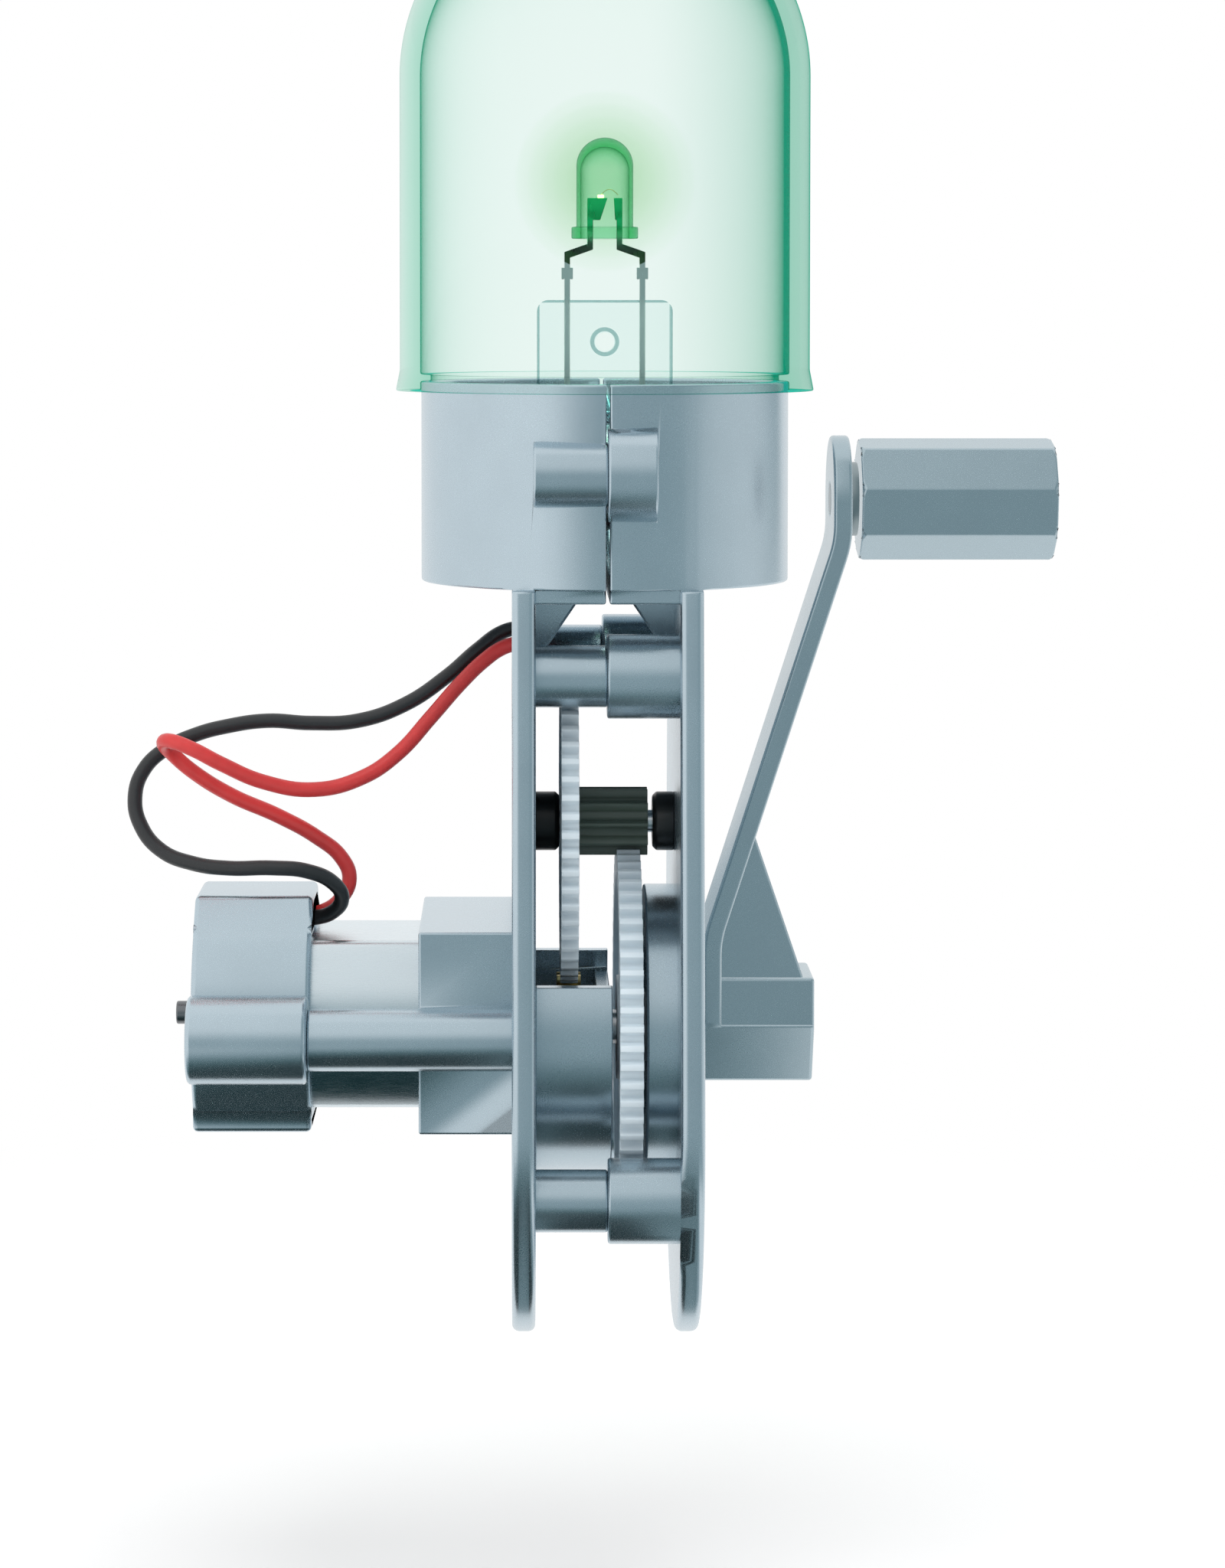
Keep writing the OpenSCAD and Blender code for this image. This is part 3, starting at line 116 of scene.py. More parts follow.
class Socket:
    """An output socket of a node tree. Arithmetic on it adds Math nodes."""

    def __init__(self, shader, socket):
        self.shader = shader
        self.socket = socket

    def __add__(self, other):
        return self.shader.maths("ADD", self, other)

    def __radd__(self, other):
        return self.shader.maths("ADD", other, self)

    def __sub__(self, other):
        return self.shader.maths("SUBTRACT", self, other)

    def __rsub__(self, other):
        return self.shader.maths("SUBTRACT", other, self)

    def __mul__(self, other):
        return self.shader.maths("MULTIPLY", self, other)

    def __rmul__(self, other):
        return self.shader.maths("MULTIPLY", other, self)

    def __pow__(self, other):
        return self.shader.maths("POWER", self, other)


class Shader:
    """The node tree of a material, a world or a lamp."""

    def __init__(self, owner):
        owner.use_nodes = True
        self.tree = owner.node_tree
        self.tree.nodes.clear()

    def node(self, kind, settings=None, sockets=None, output=0):
        """Adds a node of a kind: first its settings, then the values or links of its sockets."""
        node = self.tree.nodes.new(kind)
        for key, value in (settings or {}).items():
            if key == "stops":
                ramp = node.color_ramp.elements
                while len(ramp) < len(value):
                    ramp.new(1.0)
                for element, (position, colour) in zip(ramp, value):
                    element.position = position
                    element.color = (*colour, 1.0)
            else:
                setattr(node, key, value)
        for key, value in (sockets or {}).items():
            if isinstance(value, Socket):
                self.tree.links.new(value.socket, node.inputs[key])
            else:
                node.inputs[key].default_value = value
        return Socket(self, node.outputs[output]) if node.outputs else None

    def maths(self, operation, *values):
        """Math node on one to three values or links."""
        return self.node("ShaderNodeMath", {"operation": operation}, dict(enumerate(values)))

    def vectors(self, operation, first, second=(0.0, 0.0, 0.0), output="Vector"):
        """Vector Math node on two vectors or links."""
        sockets = {0: first, 1: second}
        return self.node("ShaderNodeVectorMath", {"operation": operation}, sockets, output)

    def where(self):
        """Object coordinates in metres."""
        return self.node("ShaderNodeTexCoord", output="Object")

    def part(self, vector, axis):
        """One part, X, Y or Z, of a vector."""
        return self.node("ShaderNodeSeparateXYZ", {}, {0: vector}, output=axis)

    def ramp(self, value, start, end, top=1.0):
        """Smooth share that goes from 0 at the start to the top at the end."""
        return self.node(
            "ShaderNodeMapRange", {"interpolation_type": "SMOOTHSTEP"},
            {"Value": value, "From Min": start, "From Max": end, "To Min": 0.0, "To Max": top})

    def place(self, scale=(1.0, 1.0, 1.0)):
        """Object coordinates in metres, stretched by a scale."""
        return self.node("ShaderNodeMapping", {}, {"Vector": self.where(), "Scale": scale})

    def noise(self, size, detail=2.0, scale=(1.0, 1.0, 1.0)):
        """Noise from 0 to 1 whose grains are about size metres wide."""
        sockets = {"Vector": self.place(scale), "Scale": 1 / size, "Detail": detail, "Roughness": 0.5}
        return self.node("ShaderNodeTexNoise", {}, sockets)

    def bands(self, width, distortion):
        """Waves from 0 to 1 along X, a width apart."""
        sockets = {"Vector": self.place(), "Scale": BAND_SCALE / width, "Distortion": distortion}
        kinds = {"wave_type": "BANDS", "bands_direction": "X"}
        return self.node("ShaderNodeTexWave", kinds, sockets, output="Fac")

    def blend(self, share, first, second):
        """Colour that goes from the first to the second as share goes from 0 to 1."""
        sockets = {0: share, 6: rgba(first), 7: rgba(second)}
        return self.node("ShaderNodeMix", {"data_type": "RGBA"}, sockets, output=2)

    def bump(self, height, depth):
        """Normal of a surface whose height from 0 to 1 stands for depth metres."""
        return self.node("ShaderNodeBump", {}, {"Height": height, "Distance": depth, "Strength": 1.0})

    def plastic(self, **sockets):
        """Principled surface, given the values or links of its sockets."""
        named = {key.replace("_", " "): value for key, value in sockets.items()}
        return self.node("ShaderNodeBsdfPrincipled", {}, named)

    def out(self, surface, volume=None, kind="ShaderNodeOutputMaterial"):
        sockets = {"Surface": surface}
        if volume is not None:
            sockets["Volume"] = volume
        self.node(kind, {}, sockets)


def rgba(colour):
    """Colour with an alpha of 1, or a link as it is."""
    return colour if isinstance(colour, Socket) else (*tuple(colour)[:3], 1.0)


def shade(colour, factor):
    """Colour made lighter or darker by a factor."""
    return tuple(min(1.0, part * factor) for part in tuple(colour)[:3])


def new_material(name):
    """New material and its shader."""
    material = bpy.data.materials.new(name)
    return material, Shader(material)


def silver_paint(name, colour, roughness):
    """Silver paint over a moulding: fine flakes, soft clouds, and the faint ripple of sprayed paint."""
    material, s = new_material(name)
    flakes = s.noise(0.09 * MM, 1.0)
    clouds = s.noise(6 * MM, 4.0)
    ripple = s.noise(0.8 * MM, 2.0)
    tone = clouds * 0.6 + flakes * 0.4
    surface = s.plastic(
        Base_Color=s.blend(tone, shade(colour, 0.88), shade(colour, 1.1)),
        Metallic=0.92 + flakes * 0.07,
        Roughness=roughness - 0.06 + clouds * 0.06 + flakes * 0.08,
        Normal=s.bump(ripple * 0.7 + flakes * 0.3, 0.004 * MM),
    )
    s.out(surface)
    return material


def moulded_plastic(name, colour, roughness):
    """Plain moulded plastic: slight tone clouds, a fine spark-eroded grain, and rubbed patches."""
    material, s = new_material(name)
    grain = s.noise(0.12 * MM, 3.0)
    clouds = s.noise(4 * MM, 3.0)
    surface = s.plastic(
        Base_Color=s.blend(clouds, shade(colour, 0.9), shade(colour, 1.08)),
        Roughness=roughness + (clouds - 0.5) * 0.16 + (grain - 0.5) * 0.1,
        Normal=s.bump(grain, 0.005 * MM),
    )
    s.out(surface)
    return material


def drawn_metal(name, colour, roughness, along=(0.06, 1.0, 1.0), depth=0.001 * MM, tip=None):
    """Bare metal with the grain of its drawing or turning, and stains some millimetres wide.

    A tip (colour, low, high) is the colour that the metal turns to between two heights.
    """
    material, s = new_material(name)
    grain = s.noise(0.12 * MM, 2.0, along)
    stains = s.noise(5 * MM, 4.0)
    tone = s.blend(stains * 0.7 + grain * 0.3, shade(colour, 0.88), shade(colour, 1.06))
    if tip:
        tip_colour, low, high = tip
        height = s.part(s.where(), "Z")
        share = s.node("ShaderNodeMapRange", {}, {"Value": height, "From Min": low, "From Max": high})
        tone = s.blend(share, tone, tip_colour)
    surface = s.plastic(
        Base_Color=tone,
        Metallic=1.0,
        Roughness=roughness + (grain - 0.5) * 0.16 + (stains - 0.5) * 0.12,
        Normal=s.bump(grain, depth),
    )
    s.out(surface)
    return material


def wound_copper(name, colour):
    """Enamelled copper wire laid turn beside turn, seen as fine ribs with painted shade in the grooves
    between them.
    """
    material, s = new_material(name)
    turns = s.bands(0.2 * MM, 0.4)
    surface = s.plastic(
        # Painted shade: the colour darkens in the grooves between the turns.
        Base_Color=s.blend(turns, shade(colour, 0.35), colour),
        Metallic=0.8,
        Roughness=0.25 + turns * 0.1,
        Coat_Weight=0.6,
        Normal=s.bump(turns, 0.05 * MM),
    )
    s.out(surface)
    return material


def laminated_steel(name, colour):
    """Stack of thin steel sheets with a groove between each two, and patches of rust."""
    material, s = new_material(name)
    sheets = s.bands(0.5 * MM, 0.0)
    rust = s.noise(1.2 * MM, 4.0)
    surface = s.plastic(
        Base_Color=s.blend(rust, shade(colour, 0.7), shade(colour, 1.1)),
        Metallic=0.9,
        Roughness=0.4 + rust * 0.2,
        Normal=s.bump(sheets, 0.02 * MM),
    )
    s.out(surface)
    return material


def clear_plastic(name, colour, density, rim=(0.42, 0.58, 0.58), share=None, gloss=0.08):
    """Clear plastic whose colour deepens with the path through it, under a glossy, marked skin.

    The skin goes from clear to the rim's colour as share, a function of the shader, goes from 0 to 1.
    """
    material, s = new_material(name)
    marks = s.noise(3 * MM, 3.0)
    surface = s.plastic(
        Base_Color=s.blend(share(s) if share else marks * 0.02, (1.0, 1.0, 1.0), rim),
        Roughness=marks * 0.01,
        IOR=1.0,
        Transmission_Weight=1.0,
        Coat_Weight=gloss + marks * 0.04,
        Coat_Roughness=0.03,
        Coat_IOR=1.4,
    )
    volume = s.node("ShaderNodeVolumeAbsorption", {}, {"Color": rgba(colour), "Density": density})
    s.out(surface, volume)
    return material


def grazing(s, power):
    """0 where the surface is seen square on, up to 1 where it is seen along its skin."""
    weight = s.node("ShaderNodeLayerWeight", {}, {"Blend": 0.5}, output="Facing")
    return weight ** power


def insulation(name, colour):
    """Soft wire insulation: waxy sheen, faint marks, and dust that dulls it in patches."""
    material, s = new_material(name)
    dust = s.noise(1.5 * MM, 4.0)
    marks = s.noise(0.25 * MM, 1.0)
    surface = s.plastic(
        Base_Color=s.blend(dust, shade(colour, 0.85), shade(colour, 1.15)),
        Roughness=0.3 + dust * 0.2,
        Normal=s.bump(marks, 0.01 * MM),
        Coat_Weight=0.2,
        Coat_Roughness=0.3,
    )
    s.out(surface)
    return material


def lit_chip(name, colour, strength):
    """Lit chip of the lamp, whose light is slightly uneven."""
    material, s = new_material(name)
    cells = s.noise(0.1 * MM, 1.0)
    surface = s.plastic(
        Base_Color=rgba(colour),
        Emission_Color=s.blend(cells, shade(colour, 0.8), colour),
        Emission_Strength=strength,
        Roughness=0.5,
    )
    s.out(surface)
    return material


def quads(rows, columns, wrap_rows, wrap_columns):
    """Faces of a grid: each joins a point to the next in its row and the two in the next row."""
    row = np.arange(rows if wrap_rows else rows - 1)[:, None]
    column = np.arange(columns if wrap_columns else columns - 1)[None, :]
    row, column = np.broadcast_arrays(row, column)
    below, beside = (row + 1) % rows, (column + 1) % columns
    corners = ((row, column), (row, beside), (below, beside), (below, column))
    return np.stack([r * columns + c for r, c in corners], axis=-1).reshape(-1, 4)


def link(name, data):
    """New object at the origin, in the scene."""
    piece = bpy.data.objects.new(name, data)
    bpy.context.scene.collection.objects.link(piece)
    return piece


def skin(name, grids, sharp=40.0, closed=True):
    """Object made of grids of points in metres, each (points, wrap_rows, wrap_columns).

    Its faces are smooth, with a sharp edge wherever two of them meet at more than sharp degrees.
    """
    points, faces, count = [], [], 0
    for grid, wrap_rows, wrap_columns in grids:
        rows, columns = grid.shape[:2]
        points.append(grid.reshape(-1, 3))
        faces.append(quads(rows, columns, wrap_rows, wrap_columns) + count)
        count += rows * columns
    mesh = bpy.data.meshes.new(name)
    mesh.from_pydata(np.vstack(points).tolist(), [], np.vstack(faces).tolist())
    bm = bmesh.new()
    bm.from_mesh(mesh)
    if closed:
        bmesh.ops.remove_doubles(bm, verts=bm.verts, dist=SAME_POINT)
        bmesh.ops.recalc_face_normals(bm, faces=bm.faces)
    for face in bm.faces:
        face.smooth = True
    for edge in bm.edges:
        edge.smooth = edge.calc_face_angle(0.0) < math.radians(sharp)
    bm.to_mesh(mesh)
    bm.free()
    return link(name, mesh)


def rounded(corners, radius, steps=6):
    """Path with rounded corners: at each, (1-t)^2 A + 2t(1-t) B + t^2 C between points radius away."""
    corners = np.asarray(corners, float)
    middle = corners[1:-1]
    back, ahead = corners[:-2] - middle, corners[2:] - middle
    room_back = np.linalg.norm(back, axis=1, keepdims=True)
    room_ahead = np.linalg.norm(ahead, axis=1, keepdims=True)
    reach = np.minimum(radius, np.minimum(room_back, room_ahead) / 2)
    first = middle + back / room_back * reach
    last = middle + ahead / room_ahead * reach
    t = np.linspace(0, 1, steps)[None, :, None]
    arcs = (1 - t) ** 2 * first[:, None] + 2 * t * (1 - t) * middle[:, None] + t**2 * last[:, None]
    return np.vstack([corners[:1], arcs.reshape(-1, corners.shape[1]), corners[-1:]])


def lathe(profile, count=96, centre=(0.0, 0.0, 0.0)):
    """Turned surface on the Z axis: P(s, t) = centre + (r(s) cos t, r(s) sin t, h(s))."""
    turn = np.linspace(0, TAU, count, endpoint=False)[None, :]
    radius, height = profile[:, :1], profile[:, 1:2]
    x, y = radius * np.cos(turn), radius * np.sin(turn)
    return np.stack([x, y, np.broadcast_to(height, x.shape)], axis=-1) + np.asarray(centre)


def quarter(radius, height, steps):
    """Quarter circle of a ball's profile, from its side to its top: (R cos t, h + R sin t)."""
    angle = np.linspace(0, math.pi / 2, steps)[:, None]
    return np.hstack([radius * np.cos(angle), height + radius * np.sin(angle)])


def tube(path, radius, count=16):
    """Round tube: P(s, t) = path(s) + r (n cos t + m sin t), n and m square to the path."""
    path = np.asarray(path, float)
    along = np.gradient(path, axis=0)
    along /= np.linalg.norm(along, axis=1, keepdims=True)
    side = np.cross(along, (0.0, 1.0, 0.0))
    side /= np.linalg.norm(side, axis=1, keepdims=True)
    other = np.cross(along, side)
    turn = np.linspace(0, TAU, count, endpoint=False)[None, :, None]
    ring = side[:, None] * np.cos(turn) + other[:, None] * np.sin(turn)
    grid = path[:, None] + radius * ring
    ends = [np.broadcast_to(path[k], grid[k].shape) for k in (0, -1)]
    return np.concatenate([ends[0][None], grid, ends[1][None]])


def step(x, low, high):
    """Smooth step from 0 at low to 1 at high: 3t^2 - 2t^3."""
    t = np.clip((x - low) / (high - low), 0, 1)
    return t * t * (3 - 2 * t)


def cross_recess(x, y, reach, width):
    """Depth share of a cross recess: two bars at right angles with sloped walls."""
    def bar(along, across):
        beside = 1 - step(np.abs(across), width * 0.55, width)
        return beside * (1 - step(np.abs(along), reach * 0.6, reach))

    return np.maximum(bar(x, y), bar(y, x))


def screw(seat, length, radius, head_r, head_h, pitch, sense, columns=72):
    """Screw on the X axis: a body whose radius follows a helix, and a head with a cross recess.

    Body: r(h, t) = R + d max(0, cos(TAU h / pitch - t))^3. Head: h falls by depth times the recess.
    """
    turn = np.linspace(0, TAU, columns, endpoint=False)[None, :]
    steps = max(24, int(length / pitch * 14))
    depth = np.linspace(-length, 0, steps)[:, None]
    taper = step(depth, -length, -length + 1.6 * radius)
    ridge = np.maximum(0, np.cos(TAU * depth / pitch - sense * turn)) ** 3
    ridge = ridge * (1 - step(depth, -1.2 * radius, -0.6 * radius)) * 0.16 * radius
    body_r = radius * 0.84 * taper + ridge * taper
    body_h = np.broadcast_to(depth, body_r.shape)
    rim = rounded([(radius * 0.84, 0), (head_r, 0), (head_r, head_h * 0.45)], 0.12 * head_r, 5)
    crown = np.linspace(1, 0, 26)[1:, None]
    crown_r = np.broadcast_to(head_r * crown, (25, columns))
    crown_h = head_h * (0.45 + 0.55 * np.sqrt(np.maximum(0, 1 - crown**2)))
    dip = cross_recess(crown_r * np.cos(turn), crown_r * np.sin(turn), 0.62 * head_r, 0.19 * head_r)
    crown_h = crown_h - dip * head_h * 0.7
    rim_r, rim_h = (np.broadcast_to(rim[:, k:k + 1], (len(rim), columns)) for k in (0, 1))
    radii = np.vstack([body_r, rim_r, crown_r])
    heights = np.vstack([body_h, rim_h, crown_h])
    x = seat[0] + sense * heights
    grid = np.stack([x, seat[1] + radii * np.cos(turn), seat[2] + radii * np.sin(turn)], axis=-1)
    return grid, False, True


def middle(node):
    """Middle of a CAD node's box."""
    low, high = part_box(node)
    return tuple((a + b) / 2 for a, b in zip(low, high))


def settings():
    """The flashlight's sizes and colours in this scene."""
    return bpy.context.scene.flashlight


def neck_low():
    """Height of the neck's underside in millimetres."""
    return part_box("frame_left")[1][2] / MM - NECK_HEIGHT


def paint(thing, material):
    """Gives an object its only material, without a change to a CAD node's mesh."""
    if not thing.material_slots:
        thing.data.materials.append(material)
    for place in thing.material_slots:
        place.link = "OBJECT"
        place.material = material


def fit_out(piece, material, body, slot, *nodes):
    """Material, body and replaced nodes of a new piece. The slot is not used."""
    piece.data.materials.clear()
    piece.data.materials.append(material)
    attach(piece, body)
    if nodes:
        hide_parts(*nodes)
    return piece


def softened(node, width, segments=3, share=None, angle=28.0):
    """Merged copy of a CAD node with its outer edges rounded by a bevel of a width.

    share takes the middles of the edges in millimetres and gives each its share of the width.
    The frame's plates are cut across below the neck, where their bevelled faces would fold.
    """
    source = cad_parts[node]
    mesh = source.data.copy()
    mesh.transform(source.matrix_world)
    bm = bmesh.new()
    bm.from_mesh(mesh)
    bmesh.ops.remove_doubles(bm, verts=bm.verts, dist=SAME_CAD_POINT)
    bmesh.ops.dissolve_limit(bm, angle_limit=FLAT, verts=bm.verts, edges=bm.edges)
    if node.startswith("frame_"):
        whole = bm.verts[:] + bm.edges[:] + bm.faces[:]
        place = (0, 0, (neck_low() - CUT_DROP) * MM)
        bmesh.ops.bisect_plane(bm, geom=whole, plane_co=place, plane_no=(0, 0, 1))
    weights = bm.edges.layers.float.new("bevel_weight_edge")
    bend = math.radians(angle)
    edges = [edge for edge in bm.edges if edge.calc_face_angle_signed(0.0) > bend]
    middles = np.array([(edge.verts[0].co + edge.verts[1].co) / 2 for edge in edges]) / MM
    shares = np.ones(len(edges)) if share is None else share(middles)
    for edge, value in zip(edges, shares):
        edge[weights] = float(value)
    for edge in bm.edges:
        edge.smooth = edge.calc_face_angle_signed(0.0) > -bend
    for face in bm.faces:
        face.smooth = True
    bm.to_mesh(mesh)
    bm.free()
    piece = link(node + "_finish", mesh)
    bevel = piece.modifiers.new("Rounded edges", "BEVEL")
    bevel.width = width
    bevel.segments = segments
    bevel.limit_method = "WEIGHT"
    bevel.use_clamp_overlap = False
    bevel.loop_slide = False
    even = piece.modifiers.new("Even shading", "WEIGHTED_NORMAL")
    even.weight = 100
    even.keep_sharp = True
    return piece


class FlashlightSettings(bpy.types.PropertyGroup):
    """Sizes and colours of the finish that a user would change."""

    wire_width: FloatProperty(
        name="Wire width", description="Diameter of each wire over its insulation",
        default=1.3 * MM, unit="LENGTH")
    frame_edge: FloatProperty(
        name="Frame edges", description="Rounding of the frame's small edges",
        default=0.22 * MM, unit="LENGTH")
    foot_edge: FloatProperty(
        name="Plate edges", description="Rounding along the outline of the two side plates",
        default=0.6 * MM, unit="LENGTH")
    crank_edge: FloatProperty(
        name="Crank edges", description="Rounding of the crank arm's edges",
        default=0.3 * MM, unit="LENGTH")
    knob_edge: FloatProperty(
        name="Knob edges", description="Rounding of the knob's eight edges and ends",
        default=0.16 * MM, unit="LENGTH")
    gear_edge: FloatProperty(
        name="Gear edges", description="Rounding of the gears' teeth",
        default=0.05 * MM, unit="LENGTH")
    silver: FloatVectorProperty(
        name="Silver", description="Silver paint of the frame",
        default=(0.50, 0.60, 0.66), subtype="COLOR")
    silver_roughness: FloatProperty(
        name="Silver roughness", description="Roughness of the silver paint",
        default=0.25, subtype="FACTOR")
    crank_silver: FloatVectorProperty(
        name="Crank silver", description="Silver paint of the crank and its knob",
        default=(0.42, 0.52, 0.57), subtype="COLOR")
    gear_pale: FloatVectorProperty(
        name="Pale gears", description="Plastic of the two large gears",
        default=(0.70, 0.80, 0.86), subtype="COLOR")
    gear_dark: FloatVectorProperty(
        name="Dark pinion", description="Plastic of the small pinion",
        default=(0.10, 0.14, 0.115), subtype="COLOR")
    dome_rim: FloatVectorProperty(
        name="Dome rim tint", description="Colour of the dome where it is seen along its wall",
        default=(0.0, 0.40, 0.26), subtype="COLOR")
    dome_tint: FloatVectorProperty(
        name="Dome tint", description="Colour that the dome's plastic lets through",
        default=(0.08, 0.67, 0.47), subtype="COLOR")
    dome_density: FloatProperty(
        name="Dome density", description="How fast the dome's colour deepens, per metre of plastic",
        default=60.0)
    lamp_glow: FloatVectorProperty(
        name="Lamp colour", description="Light of the lamp's chip",
        default=(0.75, 1.0, 0.25), subtype="COLOR")
    red_wire: FloatVectorProperty(
        name="Red wire", description="Insulation of the red wire",
        default=(0.62, 0.03, 0.03), subtype="COLOR")
    black_wire: FloatVectorProperty(
        name="Black wire", description="Insulation of the black wire",
        default=(0.012, 0.014, 0.016), subtype="COLOR")
    floor_drop: FloatProperty(
        name="Floor drop", description="How far the floor lies below the plates' feet",
        default=27.5 * MM, unit="LENGTH")


class FLASHLIGHT_OT_camera(bpy.types.Operator):
    """Sets the camera in front of the flashlight, a little left of its middle, to look slightly down"""

    bl_idname = "flashlight.camera"
    bl_label = "Camera"

    def execute(self, context):
        data = bpy.data.cameras.new("camera")
        data.sensor_width = SENSOR
        data.lens = FOCAL_PX / IMAGE_H * SENSOR
        data.shift_x = SHIFT_PX[0] / IMAGE_H
        data.shift_y = SHIFT_PX[1] / IMAGE_H
        camera = link("camera", data)
        camera.location = CAMERA_PLACE
        camera.rotation_euler = (math.radians(90 - CAMERA_PITCH), 0, 0)
        context.scene.camera = camera
        return {"FINISHED"}


class FLASHLIGHT_OT_wires(bpy.types.Operator):
    """Lays the red and the black wire from the lamp's leads to the generator's terminals"""

    bl_idname = "flashlight.wires"
    bl_label = "Wires"

    def execute(self, context):
        width = settings().wire_width
        for name, route, colour in (
            ("red", RED_ROUTE, settings().red_wire), ("black", BLACK_ROUTE, settings().black_wire)
        ):
            points = np.array(route) * MM
            curve = bpy.data.curves.new(name + "_wire", "CURVE")
            curve.dimensions = "3D"
            curve.resolution_u = 8
            curve.bevel_depth = width / 2
            curve.bevel_resolution = 5
            curve.use_fill_caps = True
            spline = curve.splines.new("BEZIER")
            spline.bezier_points.add(len(points) - 1)
            for knot, point in zip(spline.bezier_points, points):
                knot.co = point
                knot.handle_left_type = "AUTO"
                knot.handle_right_type = "AUTO"
            piece = link(name + "_wire", curve)
            soft = insulation(name + "_insulation", colour)
            fit_out(piece, soft, "frame", "wire_" + name, "wire_" + name)
        return {"FINISHED"}


